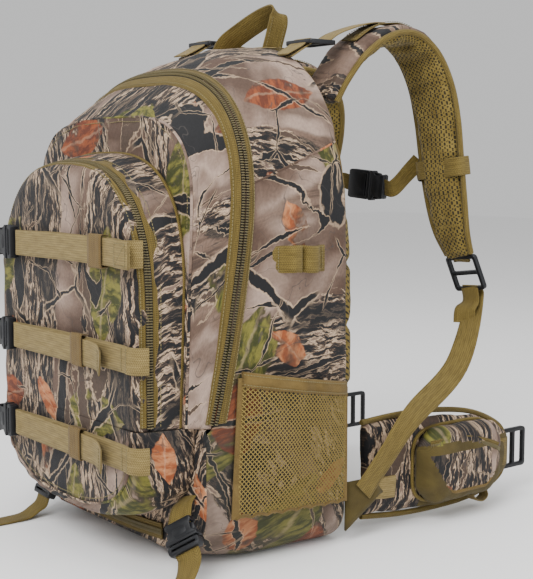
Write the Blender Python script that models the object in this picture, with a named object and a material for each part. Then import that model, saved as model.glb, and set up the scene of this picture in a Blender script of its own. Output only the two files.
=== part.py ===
"""Hunting backpack, built at true size in metres. +Z up, -Y front, +X the wearer's right side.

The origin is the centre of the flat base that the pack stands on.
"""
import math

import bmesh
import bpy
from mathutils import Matrix, Vector

for old in list(bpy.data.objects):
    bpy.data.objects.remove(old, do_unlink=True)

# ---- driving dimensions -------------------------------------------------------------------
GAP = 0.0003            # clearance between neighbouring pieces
CLOTH = 0.004           # padded cloth wall
WEB = 0.025             # webbing width
WEB_T = 0.0016          # webbing thickness
Y_BACK = 0.070          # rear face of the main compartment
SPLIT_Z = 0.135         # height where both zips end and the lids fold
FOLD_Y = -0.158         # fold line of the lids, at the foot of the pocket face
Y_LOW = -0.095          # front rim of the main compartment below the zips
Y_POCKET = -0.1400      # zip line of the front pocket
Y_FACE = -0.1530        # face of the front pocket
STRAP_Z = (0.292, 0.200, 0.112)
YOKE = (0.100, 0.440)   # y and z of the line the shoulder straps swing about
FAR_TILT = -18.0        # how much lower the left strap lies, in degrees
WING_X, WING_Y = 0.137, 0.104
SIDES = (("right", 1), ("left", -1))

# An outline: half width, spring height, arch height, arch power, lowest z, corner radius
BACK_EDGE = (0.148, 0.300, 0.184, 2.35, 0.003, 0.030)
BACK_RING = (0.153, 0.300, 0.187, 2.35, 0.000, 0.034)
MID_RING = (0.155, 0.297, 0.184, 2.40, 0.000, 0.040)
FORE_RING = (0.155, 0.290, 0.181, 2.60, 0.000, 0.045)
RIM_RING = (0.155, 0.280, 0.175, 2.80, 0.012, 0.050)
LID_RING = (0.141, 0.300, 0.112, 3.50, 0.0, 0.0)
PKT_BASE = (0.136, 0.240, 0.138, 2.70, 0.0, 0.0)
PKT_ZIP = (0.131, 0.232, 0.137, 2.60, 0.0, 0.0)
PKT_FACE = (0.120, 0.230, 0.128, 2.60, 0.0, 0.0)

ZIP_TOP, ZIP_REACH = -0.045, 0.046      # depth of the main zip at its top, and how far it comes forward
LID_TOP, LID_LOW = -0.097, -0.108       # depth of the lid's front edge at its top and its foot
ZIP_GAP = 0.0008                        # half the gap between the two halves of the main zip

# ---- materials ----------------------------------------------------------------------------
PALETTE = {
    "camo": ((0.33, 0.27, 0.22), 0.9, 0.0),
    "olive_cloth": ((0.23, 0.18, 0.07), 0.9, 0.0),
    "webbing": ((0.36, 0.32, 0.15), 0.85, 0.0),
    "zip_tape": ((0.24, 0.19, 0.07), 0.85, 0.0),
    "air_mesh": ((0.33, 0.25, 0.09), 0.9, 0.0),
    "net": ((0.36, 0.29, 0.10), 0.9, 0.0),
    "binding": ((0.28, 0.20, 0.07), 0.85, 0.0),
    "elastic": ((0.30, 0.20, 0.10), 0.9, 0.0),
    "buckle": ((0.035, 0.04, 0.05), 0.45, 0.0),
    "lining": ((0.10, 0.09, 0.06), 0.9, 0.0),
    "sheet": ((0.02, 0.02, 0.022), 0.5, 0.0),
    "stay": ((0.6, 0.6, 0.62), 0.35, 1.0),
    "slider": ((0.10, 0.09, 0.07), 0.4, 1.0),
}


def material(slot, kind):
    colour, rough, metal = PALETTE[kind]
    mat = bpy.data.materials.new(slot)
    mat.use_nodes = True
    shader = mat.node_tree.nodes["Principled BSDF"]
    shader.inputs["Base Color"].default_value = (*colour, 1.0)
    shader.inputs["Roughness"].default_value = rough
    shader.inputs["Metallic"].default_value = metal
    return mat


def finish(name, bm, kind, smooth=40.0):
    bmesh.ops.recalc_face_normals(bm, faces=bm.faces)
    if bm.calc_volume(signed=True) < 0:
        bmesh.ops.reverse_faces(bm, faces=bm.faces)
    mesh = bpy.data.meshes.new(name)
    bm.to_mesh(mesh)
    bm.free()
    mesh.materials.append(material(name, kind))
    mesh.shade_smooth()
    mesh.set_sharp_from_angle(angle=math.radians(smooth))
    obj = bpy.data.objects.new(name, mesh)
    bpy.context.collection.objects.link(obj)
    return obj


# ---- outlines -----------------------------------------------------------------------------
def lerp(a, b, t):
    return a + (b - a) * t


def zip_y(z):
    """Depth of the main zip: it leans forward towards its lower ends."""
    fall = min(max((0.440 - z) / 0.306, 0.0), 1.0)
    return ZIP_TOP - ZIP_REACH * fall ** 1.8


def lid_y(z):
    return lerp(LID_LOW, LID_TOP, (z - 0.134) / 0.279)


def rim_y(z):
    if z < SPLIT_Z - 0.010:
        return Y_LOW
    return zip_y(z) + ZIP_GAP


def inset(outline, t):
    w, spring, height, power, low, corner = outline
    return (w - t, spring, height - t, power, low + t, max(corner - t, 0.001))


def arch_half(outline, foot, steps=9, side=5):
    """Right half of an arch from its foot up to the apex."""
    w, spring, height, power = outline[:4]
    pts = [(w, lerp(foot, spring, i / side)) for i in range(side)]
    for i in range(steps + 1):
        a = math.pi / 2 * i / steps
        x = w * math.cos(a) ** (2 / power) if i < steps else 0.0
        pts.append((x, spring + height * math.sin(a) ** (2 / power)))
    return pts


def full_half(outline):
    """Right half of a closed outline: base, rounded corner, side and arch."""
    w, low, corner = outline[0], outline[4], outline[5]
    pts = [(0.0, low), ((w - corner) * 0.5, low)]
    for i in range(5):
        a = math.pi / 2 * i / 4
        pts.append((w - corner + corner * math.sin(a), low + corner - corner * math.cos(a)))
    return pts + arch_half(outline, low + corner)[1:]


def mirrored(half):
    """Closed loop from a right half whose first and last points lie on the centre line."""
    return half + [(-x, z) for x, z in reversed(half[1:-1])]


def over(half):
    """Open path over the arch, from the right foot to the left foot."""
    return half + [(-x, z) for x, z in reversed(half[:-1])]


def at_y(path, y):
    return [Vector((x, y(z) if callable(y) else y, z)) for x, z in path]


def u_path(w, top, low, power, steps=14):
    """Path from the right rim down round a bowl to the left rim."""
    pts = []
    for i in range(steps + 1):
        a = math.pi * i / steps
        c, s = math.cos(a), math.sin(a)
        x = w * math.copysign(abs(c) ** (2 / power), c)
        pts.append((x, top - (top - low) * s ** (2 / power)))
    return pts


# ---- builders -----------------------------------------------------------------------------
def twisted(face):
    """True for a four-sided face whose corners don't lie in one plane."""
    a, b, c, d = (v.co for v in face.verts)
    out = (b - a).cross(c - a)
    return out.length > 1e-12 and abs(out.normalized().dot(d - a)) > 0.00002


def loft(name, rings, kind, closed=False, smooth=40.0):
    """Skin a row of rings; the ends are capped, or joined to each other when closed."""
    bm = bmesh.new()
    rows = [[bm.verts.new(p) for p in ring] for ring in rings]
    n = len(rows[0])
    pairs = list(zip(rows, rows[1:]))
    if closed:
        pairs.append((rows[-1], rows[0]))
    for a, b in pairs:
        for i in range(n):
            j = (i + 1) % n
            bm.faces.new((a[i], a[j], b[j], b[i]))
    bmesh.ops.triangulate(bm, faces=[f for f in bm.faces if twisted(f)])
    if not closed:
        bm.faces.new(rows[0])
        bm.faces.new(list(reversed(rows[-1])))
    return finish(name, bm, kind, smooth)


def band_ring(outer, inner, y):
    return at_y(outer + list(reversed(inner)), y)


def arch_band(name, stations, thick, foot, kind):
    """A wall that follows an arch, open below. Each station is (outline, y)."""
    rings = []
    for outline, y in stations:
        outer = over(arch_half(outline, foot))
        inner = over(arch_half(inset(outline, thick), foot))
        rings.append(band_ring(outer, inner, y))
    return loft(name, rings, kind)


def grid_sheet(name, surface, thick, nu, nv, kind):
    """A thick sheet over a surface given as a function of u and v from 0 to 1."""
    front = [[Vector(surface(i / nu, j / nv)) for j in range(nv + 1)] for i in range(nu + 1)]
    back = []
    for i in range(nu + 1):
        row = []
        for j in range(nv + 1):
            du = front[min(i + 1, nu)][j] - front[max(i - 1, 0)][j]
            dv = front[i][min(j + 1, nv)] - front[i][max(j - 1, 0)]
            row.append(front[i][j] - du.cross(dv).normalized() * thick)
        back.append(row)
    bm = bmesh.new()
    fv = [[bm.verts.new(p) for p in row] for row in front]
    bv = [[bm.verts.new(p) for p in row] for row in back]
    for i in range(nu):
        for j in range(nv):
            bm.faces.new((fv[i][j], fv[i + 1][j], fv[i + 1][j + 1], fv[i][j + 1]))
            bm.faces.new((bv[i][j], bv[i][j + 1], bv[i + 1][j + 1], bv[i + 1][j]))
    edge = [(i, 0) for i in range(nu)] + [(nu, j) for j in range(nv)]
    edge += [(i, nv) for i in range(nu, 0, -1)] + [(0, j) for j in range(nv, 0, -1)]
    for (a, b), (c, d) in zip(edge, edge[1:] + edge[:1]):
        bm.faces.new((fv[a][b], bv[a][b], bv[c][d], fv[c][d]))
    return finish(name, bm, kind)


def frames(points, side):
    """Tangent, width and thickness directions at each point of a path."""
    pts = [Vector(p) for p in points]
    out = []
    for i, p in enumerate(pts):
        t = (pts[min(i + 1, len(pts) - 1)] - pts[max(i - 1, 0)]).normalized()
        w = Vector(side[i] if isinstance(side[0], (tuple, list)) else side)
        w = (w - t * w.dot(t)).normalized()
        out.append((p, w, t.cross(w)))
    return out


def eased(points, steps):
    """Points of a smooth curve through the given points."""
    pts = [Vector(p) for p in points]
    pts = [pts[0] * 2 - pts[1]] + pts + [pts[-1] * 2 - pts[-2]]
    out = []
    for i in range(1, len(pts) - 2):
        a, b, c, d = pts[i - 1:i + 3]
        for k in range(steps):
            t = k / steps
            out.append(0.5 * (2 * b + (c - a) * t + (2 * a - 5 * b + 4 * c - d) * t * t
                              + (3 * b - a - 3 * c + d) * t ** 3))
    return out + [pts[-2]]


def strap(name, points, side, width, thick, kind, round_to=0.0, lift=0.0):
    """A flat band along a path; lift moves it along its own thickness direction."""
    rings = []
    widths = width if isinstance(width, (tuple, list)) else [width] * len(points)
    for (p, w, n), full in zip(frames(points, side), widths):
        h, k = full / 2, thick / 2
        r = min(round_to, k * 0.98)
        if r > 0:
            cut = [(-h, -k + r), (-h + r, -k), (h - r, -k), (h, -k + r),
                   (h, k - r), (h - r, k), (-h + r, k), (-h, k - r)]
        else:
            cut = [(-h, -k), (h, -k), (h, k), (-h, k)]
        rings.append([p + w * a + n * (b + lift) for a, b in cut])
    return loft(name, rings, kind)


def bezel(cx, cy, corner):
    c = corner
    return [(-cx + c, -cy), (cx - c, -cy), (cx, -cy + c), (cx, cy - c),
            (cx - c, cy), (-cx + c, cy), (-cx, cy - c), (-cx, -cy + c)]


def spindle(name, origin, axis, wide, cuts, kind, corner=0.0012):
    """A run of rounded rectangles along an axis: cuts are (distance, half width, half height)."""
    axis, wide = Vector(axis).normalized(), Vector(wide).normalized()
    up = axis.cross(wide)
    rings = []
    for s, a, b in cuts:
        c = min(corner, a * 0.45, b * 0.45)
        rings.append([Vector(origin) + axis * s + wide * p + up * q for p, q in bezel(a, b, c)])
    return loft(name, rings, kind)


def window_frame(name, origin, long, wide, length, width, thick, rail, kind):
    """A flat rectangular ring, such as a ladder lock, with a window for webbing."""
    long, wide = Vector(long).normalized(), Vector(wide).normalized()
    up = long.cross(wide)
    a, b, k = width / 2, length / 2, thick / 2
    loops = []
    for grow, lift in ((0, -k), (0, k), (-rail, k), (-rail, -k)):
        c = 0.004 if grow == 0 else 0.001
        loop = bezel(a + grow, b + grow, c)
        loops.append([Vector(origin) + wide * p + long * q + up * lift for p, q in loop])
    return loft(name, loops, kind, closed=True)


# ---- main compartment ---------------------------------------------------------------------
def blend_ring(a, b, t, y0, outline_t=0.0):
    ring = tuple(lerp(p, q, t) for p, q in zip(a, b))
    path = mirrored(full_half(inset(ring, outline_t) if outline_t else ring))
    return at_y(path, lambda z: lerp(y0, rim_y(z), t))


outer_rings = [
    at_y(mirrored(full_half(BACK_EDGE)), Y_BACK),
    at_y(mirrored(full_half(BACK_RING)), Y_BACK - 0.008),
    at_y(mirrored(full_half(MID_RING)), 0.020),
    blend_ring(FORE_RING, FORE_RING, 0.5, 0.020),
    blend_ring(RIM_RING, RIM_RING, 1.0, 0.020),
]
inner_rings = [
    blend_ring(RIM_RING, RIM_RING, 1.0, 0.020, CLOTH),
    blend_ring(FORE_RING, FORE_RING, 0.5, 0.020, CLOTH),
    at_y(mirrored(full_half(inset(MID_RING, CLOTH))), 0.020),
    at_y(mirrored(full_half(inset(BACK_RING, CLOTH))), Y_BACK - 0.009),
    at_y(mirrored(full_half(inset(BACK_EDGE, CLOTH + 0.001))), Y_BACK - CLOTH),
]
loft("main_shell", outer_rings + inner_rings, "camo")

low_half = [p for p in full_half(RIM_RING) if p[1] < 0.10] + [(RIM_RING[0], SPLIT_Z - 0.0015)]
low_loop = low_half + [(-x, z) for x, z in reversed(low_half[1:])]
lower_panel = loft("lower_panel_tool", [at_y(low_loop, Y_LOW - GAP), at_y(low_loop, Y_LOW - CLOTH)], "camo")
lower_panel.hide_render = True
lower_panel.display_type = "WIRE"

# ---- lower part of the front pocket, which never opens ------------------------------------
LOW_TOP = SPLIT_Z - 0.0015
foot = []
for y, w, low in ((Y_LOW - CLOTH + 0.001, 0.138, 0.042), (-0.120, 0.137, 0.040), (Y_POCKET, 0.132, 0.042),
                  (Y_FACE + 0.004, 0.129, 0.046), (Y_FACE, 0.121, 0.053)):
    foot.append((y, w, low))
outer_foot = [at_y(u_path(w, LOW_TOP, low, 2.7), y) for y, w, low in foot]
inner_foot = []
for y, w, low in ((Y_FACE + CLOTH, 0.121, 0.053), (Y_POCKET, 0.128, 0.046), (-0.120, 0.133, 0.044),
                  (Y_LOW - CLOTH + 0.001, 0.134, 0.046)):
    inner_foot.append(at_y(u_path(w, LOW_TOP, low, 2.7), y))


def cup(name, outer, inner, kind):
    """A bowl open at the top and the back. outer runs to the front, inner runs back again."""
    bm = bmesh.new()
    out = [[bm.verts.new(p) for p in row] for row in outer]
    inn = [[bm.verts.new(p) for p in row] for row in inner]
    pairs = list(zip(out, out[1:])) + list(zip(inn, inn[1:])) + [(inn[-1], out[0])]
    for a, b in pairs:
        for i in range(len(a) - 1):
            bm.faces.new((a[i], a[i + 1], b[i + 1], b[i]))
    bm.faces.new(out[-1])
    bm.faces.new(list(reversed(inn[0])))
    rim = [row[0] for row in out] + [row[-1] for row in reversed(out)]
    rim += [row[-1] for row in reversed(inn)] + [row[0] for row in inn]
    bm.faces.new(rim)
    return finish(name, bm, kind)


# the foot of the pocket is sewn to the panel that closes the compartment below the zips
pocket_foot = cup("lower_front", outer_foot, inner_foot, "camo")
sewn = pocket_foot.modifiers.new("sewn", "BOOLEAN")
sewn.operation = "UNION"
sewn.object = lower_panel

# ---- zips: a woven tape with half the coil along its edge ----------------------------------
ZIP_FOOT = SPLIT_Z + 0.004


def grown(outline, t):
    return (outline[0] + t, outline[1], outline[2] + t, outline[3], 0.0, 0.0)


def along_wall(name, wall, stations, kind, foot=ZIP_FOOT):
    """A band lying on a wall. wall is two (outline, y) edges; stations are (place, out, in)."""
    rings = []
    for place_on, out, inn in stations:
        loops = []
        for outline, y in wall:
            outer = over(arch_half(grown(outline, out), foot))
            inner = over(arch_half(grown(outline, inn), foot))
            loops.append(band_ring(outer, inner, y))
        rings.append([p.lerp(q, place_on) for p, q in zip(*loops)])
    return loft(name, rings, kind)


def zip_half(name, wall, start, knee, end):
    stations = ((start, 0.0018, 0.0004), (knee, 0.0018, 0.0004), (knee + (end - knee) * 0.05, 0.0030, 0.0004),
                (end, 0.0030, 0.0004))
    return along_wall(name, wall, stations, "zip_tape")


REAR_WALL = ((FORE_RING, lambda z: lerp(0.020, rim_y(z), 0.5)), (RIM_RING, rim_y))
zip_half("main_zip_rear", REAR_WALL, 0.66, 0.93, 0.997)

# ---- main lid: gusset, panel and the gusset of the front pocket ----------------------------
LID_FOOT = SPLIT_Z + 0.0015
LID_BACK = (0.1545, 0.280, 0.1745, 2.80, 0, 0)
LID_MID = (0.1500, 0.288, 0.147, 3.1, 0, 0)


def mid_y(z):
    return lerp(zip_y(z), lid_y(z), 0.5)


arch_band("lid_gusset", [(LID_BACK, lambda z: zip_y(z) - ZIP_GAP), (LID_MID, mid_y),
                         (LID_RING, lambda z: lid_y(z) + GAP)], CLOTH, LID_FOOT, "camo")
LID_LOOP = over(arch_half(LID_RING, LID_FOOT))
loft("lid_panel", [at_y(LID_LOOP, lid_y), at_y(LID_LOOP, lambda z: lid_y(z) - CLOTH + 0.001)], "camo")
LID_WALL = ((LID_BACK, lambda z: zip_y(z) - ZIP_GAP), (LID_MID, mid_y))
zip_half("main_zip_lid", LID_WALL, 0.62, 0.14, 0.01)
PKT_WALL = ((PKT_BASE, lambda z: lid_y(z) - CLOTH + 0.0007), (PKT_ZIP, Y_POCKET))
arch_band("pocket_gusset", PKT_WALL, CLOTH, LID_FOOT, "camo")
zip_half("pocket_zip_lid", PKT_WALL, 0.66, 0.92, 0.995)

# ---- front pocket lid ---------------------------------------------------------------------
FACE_MID = (0.1290, 0.232, 0.135, 2.6, 0, 0)
face = []
for ring, y in ((PKT_FACE, Y_FACE), (FACE_MID, Y_FACE + 0.004), (PKT_ZIP, Y_POCKET - GAP)):
    face.append(at_y(over(arch_half(ring, LID_FOOT)), y))
for ring, y in ((PKT_ZIP, Y_POCKET - GAP), (PKT_FACE, Y_FACE + 0.0035)):
    face.append(at_y(over(arch_half(inset(ring, CLOTH), LID_FOOT + 0.003)), y))
loft("pocket_face", face, "camo")
FACE_WALL = ((PKT_ZIP, lambda z: Y_POCKET - GAP), (FACE_MID, lambda z: Y_FACE + 0.004))
zip_half("pocket_zip_face", FACE_WALL, 0.72, 0.30, 0.01)

# ---- zip sliders with their pulls ----------------------------------------------------------
for label, x, y, lean in (("main", -0.1598, -0.0812, 0.21), ("pocket", -0.1358, Y_POCKET, 0.0)):
    run = (0, lean, 1)
    base = (x - 0.0006, y, 0.172)
    spindle("%s_slider" % label, base, run, (0, 1, 0),
            ((0.0, 0.0030, 0.0012), (0.003, 0.0046, 0.0018), (0.010, 0.0050, 0.0018), (0.012, 0.0042, 0.0012)),
            "slider", 0.0008)
    hang = (x - 0.0036, y + lean * 0.004, 0.1770)
    spindle("%s_pull" % label, hang, (0, -lean, -1), (0, 1, 0),
            ((0.0, 0.0020, 0.0006), (0.004, 0.0024, 0.0008), (0.006, 0.0034, 0.0013), (0.026, 0.0042, 0.0015),
             (0.028, 0.0034, 0.0010)), "webbing", 0.0006)

# ---- rifle straps and their buckles -------------------------------------------------------
SOCKET = ((0.0, 0.0130, 0.0030), (0.004, 0.0160, 0.0050), (0.0195, 0.0168, 0.0052),
          (0.0196, 0.0138, 0.0032), (0.005, 0.0126, 0.0028))
TONGUE = ((0.006, 0.0080, 0.0018), (0.010, 0.0118, 0.0024), (0.0199, 0.0122, 0.0024),
          (0.0203, 0.0162, 0.0046), (0.0270, 0.0162, 0.0046), (0.0290, 0.0150, 0.0028))
FACE_EDGE = (0.1125, 0.1205, 0.1200)
for k, (z, edge) in enumerate(zip(STRAP_Z, FACE_EDGE), 1):
    y = Y_FACE - 0.0050
    mouth = -edge + 0.0070
    bar = mouth + 0.0300
    run = [(edge + 0.0190, y + 0.0130, z - 0.001), (edge + 0.0165, y + 0.0050, z - 0.001),
           (edge + 0.0070, y - 0.0002, z - 0.001), (edge - 0.006, y - 0.0004, z), (0.05, y - 0.0012, z + 0.0005),
           (0.0, y - 0.0016, z + 0.001), (bar + 0.020, y - 0.0016, z), (bar + 0.006, y - 0.0022, z),
           (bar + 0.0012, y - 0.0044, z), (bar + 0.006, y - 0.0066, z)]
    if k == 1:
        run += [(bar + 0.022, y - 0.0054, z), (0.040, y - 0.0048, z + 0.0005), (0.105, y - 0.0042, z),
                (0.122, y - 0.0052, z - 0.0010), (0.137, y - 0.0048, z - 0.0015)]
    else:
        run += [(bar + 0.022, y - 0.0050, z - 0.0005), (bar + 0.056, y - 0.0056, z - 0.0015),
                (bar + 0.068, y - 0.0096, z - 0.0040)]
    strap("rifle_strap_%d" % k, run, (0, 0, 1), WEB, WEB_T, "webbing")
    seat = (mouth, y - 0.0056, z)
    spindle("rifle_female_%d" % k, seat, (1, 0, 0), (0, 0, 1), SOCKET, "buckle")
    spindle("rifle_male_%d" % k, seat, (1, 0, 0), (0, 0, 1), TONGUE, "buckle")

# ---- sides: net pockets, bands and webbing loops -------------------------------------------
def net(u, v, s):
    y = lerp(lerp(-0.068, -0.060, v), 0.064, u)
    swell = math.sin(math.pi * u) ** 0.6 * (0.25 + 0.75 * math.sin(math.pi * v / 2 + 0.12))
    x = 0.1588 + 0.0175 * swell * (0.35 + 0.65 * v ** 0.5)
    return (s * x, y, lerp(lerp(0.050, 0.044, u), lerp(0.178, 0.156, u), v))


for tag, s in SIDES:
    grid_sheet("side_net_%s" % tag, lambda u, v: net(u, v, s), 0.0014 * s, 12, 6, "net")
    loop = [(s * 0.1568, -0.020, 0.282), (s * 0.1580, -0.013, 0.282), (s * 0.1665, -0.008, 0.282),
            (s * 0.1665, 0.002, 0.282), (s * 0.1612, 0.0055, 0.282), (s * 0.1665, 0.009, 0.282),
            (s * 0.1665, 0.022, 0.282), (s * 0.1580, 0.028, 0.282), (s * 0.1568, 0.035, 0.282)]
    strap("side_loop_%s" % tag, loop, (0, 0, 1), WEB, WEB_T, "webbing")

# ---- base: rain cover zip and compression straps -------------------------------------------
strap("base_zip", [(-0.085, Y_LOW - 0.0062, 0.0270), (-0.04, Y_LOW - 0.0062, 0.0245),
                   (0.0, Y_LOW - 0.0062, 0.0240), (0.04, Y_LOW - 0.0062, 0.0245),
                   (0.085, Y_LOW - 0.0062, 0.0270)], (0, 0, 1), 0.016, 0.0030, "zip_tape")
BASE_SEAT = {"right": ((0.1370, -0.1145, 0.0515), (0.62, -0.14, -0.70), (-0.6, 0.8, 0)),
             "left": ((-0.112, -0.1075, 0.0480), (-0.05, -0.30, -0.80), (0, 1, 0))}
for tag, s in SIDES:
    seat, down, behind = (Vector(v) for v in BASE_SEAT[tag])
    down.normalize()
    wide = down.cross(behind).normalized()
    spindle("base_female_%s" % tag, seat, down, wide, SOCKET, "buckle")
    spindle("base_male_%s" % tag, seat, down, wide, TONGUE, "buckle")
    bar = seat + down * 0.0320
    x = bar.x
    run = [bar, bar + down * 0.006, (x + down.x * 0.012, min(-0.126, bar.y - 0.0095), 0.0078),
           (x + down.x * 0.014, -0.140, 0.0022), (x + down.x * 0.015, -0.160, 0.0012),
           (x + down.x * 0.016, -0.178, 0.0014), (x + down.x * 0.018, -0.192, 0.0040)]
    faces = [wide, wide] + [Vector((1, 0, 0))] * 5
    strap("base_strap_%s" % tag, eased(run, 3), [tuple(v) for v in eased(faces, 3)], WEB, WEB_T, "webbing")

# ---- inner pieces -------------------------------------------------------------------------
SHEET = (0.138, 0.300, 0.150, 2.40, 0.030, 0.030)
loft("frame_sheet", [at_y(mirrored(full_half(SHEET)), Y_BACK - 0.0060),
                     at_y(mirrored(full_half(SHEET)), Y_BACK - 0.0075)], "sheet")
for tag, s in SIDES:
    strap("stay_%s" % tag, [(s * 0.055, Y_BACK - 0.0093, 0.045), (s * 0.055, Y_BACK - 0.0093, 0.24),
                            (s * 0.055, Y_BACK - 0.0093, 0.425)], (1, 0, 0), 0.020, 0.0028, "stay")
SLEEVE = (0.118, 0.260, 0.110, 3.0, 0.060, 0.020)
loft("water_sleeve", [at_y(mirrored(full_half(SLEEVE)), Y_BACK - 0.0112),
                      at_y(mirrored(full_half(SLEEVE)), Y_BACK - 0.0132)], "lining")

# ---- back pads ----------------------------------------------------------------------------
def pad_loop(w, spring, height, low, near, s):
    """One half of the back: a straight inner edge, the foot, the side and the arch."""
    pts = [(near, low), (w * 0.6, low), (w, low), (w, lerp(low, spring, 0.5))]
    last = math.acos((near / w) ** 1.15)
    for i in range(8):
        a = last * i / 7
        pts.append((w * math.cos(a) ** (2 / 2.3), spring + height * math.sin(a) ** (2 / 2.3)))
    return [(s * x, z) for x, z in pts]


for tag, s in SIDES:
    rings = [at_y(pad_loop(0.142, 0.290, 0.165, 0.146, 0.015, s), Y_BACK + GAP),
             at_y(pad_loop(0.143, 0.290, 0.166, 0.145, 0.014, s), Y_BACK + 0.010),
             at_y(pad_loop(0.137, 0.285, 0.155, 0.151, 0.018, s), Y_BACK + 0.020),
             at_y(pad_loop(0.122, 0.275, 0.130, 0.164, 0.030, s), Y_BACK + 0.025)]
    loft("back_pad_%s" % tag, rings, "air_mesh")
spindle("lumbar_pad", (0, Y_BACK + GAP, 0.086), (0, 1, 0), (1, 0, 0),
        ((0.0, 0.118, 0.050), (0.012, 0.120, 0.052), (0.022, 0.112, 0.046), (0.026, 0.098, 0.034)),
        "air_mesh", 0.020)

# ---- top: yoke, load lifter locks, haul handle ---------------------------------------------
for tag, s in SIDES:
    seat = Vector((0.070, 0.0930, 0.4890)) if s > 0 else Vector((-0.070, 0.0700, 0.4965))
    window_frame("lifter_lock_%s" % tag, seat, (0, 1, 0), (1, 0, 0), 0.026, 0.034, 0.0040, 0.0045, "buckle")
HANDLE = []
for i in range(13):
    turn = math.pi * i / 12
    high = math.sin(turn) ** 0.8
    HANDLE.append((-0.030 * math.copysign(abs(math.cos(turn)) ** 0.6, math.cos(turn)),
                   0.0840 + 0.020 * high, 0.466 + 0.066 * high))
strap("haul_handle", HANDLE, (0, 0.93, -0.36), 0.022, 0.0030, "webbing")


# ---- shoulder straps ----------------------------------------------------------------------
NEAR_PATH = [(0.072, 0.104, 0.4300), (0.074, 0.116, 0.4530), (0.077, 0.134, 0.4780), (0.080, 0.158, 0.4960),
             (0.080, 0.186, 0.5040), (0.080, 0.212, 0.5000), (0.081, 0.235, 0.4830), (0.085, 0.250, 0.4530),
             (0.089, 0.257, 0.4160), (0.092, 0.261, 0.3730), (0.096, 0.265, 0.3300), (0.100, 0.270, 0.2960),
             (0.104, 0.280, 0.2680)]
PAD_WIDTH = [0.048, 0.052, 0.058, 0.062, 0.062, 0.062, 0.062, 0.062, 0.062, 0.060, 0.056, 0.048, 0.036]


def place(points, s):
    """Mirror a right-hand path to the left and lay it lower about the yoke line."""
    if s > 0:
        return [tuple(p) for p in points]
    c, n = math.cos(math.radians(FAR_TILT)), math.sin(math.radians(FAR_TILT))
    out = []
    for x, y, z in points:
        dy, dz = y - YOKE[0], z - YOKE[1]
        out.append((-x, YOKE[0] + c * dy - n * dz, YOKE[1] + n * dy + c * dz))
    return out


def hold(point, s):
    return Vector(place([point], s)[0])


for tag, s in SIDES:
    path = place(NEAR_PATH, s)
    strap("shoulder_pad_%s" % tag, path, (1, 0, 0), PAD_WIDTH, 0.016, "air_mesh", 0.005)
    end, before = Vector(path[-1]), Vector(path[-2])
    run = (end - before).normalized()
    seat = end + run * 0.0195
    window_frame("ladder_lock_%s" % tag, seat, run, (1, 0, 0), 0.032, 0.036, 0.0050, 0.0055, "buckle")
    start = end + run * 0.0400
    turn_in = Vector((s * 0.163, 0.150, 0.117)) if s > 0 else Vector((s * 0.163, 0.130, 0.100))
    anchor = Vector((s * 0.1615, 0.0850, 0.0500))
    bend = start.lerp(turn_in, 0.5) + Vector((s * 0.004, 0.004, -0.004))
    path = [start, start + run * 0.012, bend, turn_in, turn_in.lerp(anchor, 0.5), anchor]
    faces = [(1, 0, 0), (1, 0, 0), (0.75, s * 0.3, -s * 0.5), (0.25, s * 0.6, -s * 0.7),
             (0, s * 0.7, -s * 0.7), (0, s * 0.7, -s * 0.7)]
    strap("lower_web_%s" % tag, eased(path, 4), [tuple(v) for v in eased(faces, 4)], WEB, WEB_T, "webbing")

# ---- sternum strap: webbing and a side-release buckle ---------------------------------------
FEMALE_END = Vector((0.0300, 0.2360, 0.3430))
MALE_END = Vector((-0.0190, 0.2265, 0.3480))
ACROSS = (MALE_END - FEMALE_END).normalized()
for tag, s in SIDES:
    centre = Vector(place(NEAR_PATH, s)[9])
    inner = centre + Vector((-s * 0.0375, 0, 0))
    near = FEMALE_END if s > 0 else MALE_END
    close = near - ACROSS * s * 0.0030
    level = near - ACROSS * s * 0.0110
    strap("sternum_web_%s" % tag, [inner, level, close], (0, -0.15, 1), 0.018, WEB_T, "webbing")
spindle("sternum_female", FEMALE_END, ACROSS, (0, 0, 1), SOCKET, "buckle")
spindle("sternum_male", FEMALE_END, ACROSS, (0, 0, 1),
        TONGUE[:4] + ((0.0440, 0.0162, 0.0046), (0.0490, 0.0140, 0.0028)), "buckle")

# ---- hip belt -----------------------------------------------------------------------------
for tag, s in SIDES:
    wing = [(s * WING_X, WING_Y, 0.064), (s * WING_X, 0.155, 0.062), (s * (WING_X + 0.003), 0.208, 0.060),
            (s * (WING_X + 0.003), 0.260, 0.057), (s * WING_X, 0.298, 0.054), (s * (WING_X - 0.003), 0.320, 0.053)]
    strap("belt_wing_%s" % tag, wing, (0, 0, 1), [0.096, 0.104, 0.104, 0.094, 0.070, 0.042], 0.016,
          "olive_cloth", 0.005)
    spindle("belt_pouch_%s" % tag, (s * (WING_X + 0.0125), 0.222, 0.060), (s, 0, 0), (0, 1, 0),
            ((0.0, 0.058, 0.038), (0.008, 0.060, 0.040), (0.020, 0.056, 0.037), (0.025, 0.046, 0.028)),
            "camo", 0.018)
    window_frame("belt_lock_%s" % tag, (s * (WING_X - 0.004), 0.3380, 0.052), (0, 1, 0), (0, 0, 1),
                 0.030, 0.036, 0.0050, 0.0055, "buckle")
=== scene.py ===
"""The looks of the hunting backpack: cloth, webbing, zips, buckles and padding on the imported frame.

Everything is in metres in the pack's own frame: -Y is the front, +Y the wearer's back, +Z up.
"""
import math

import bmesh
import bpy
import numpy as np
from mathutils import Matrix, Vector, noise


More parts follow.
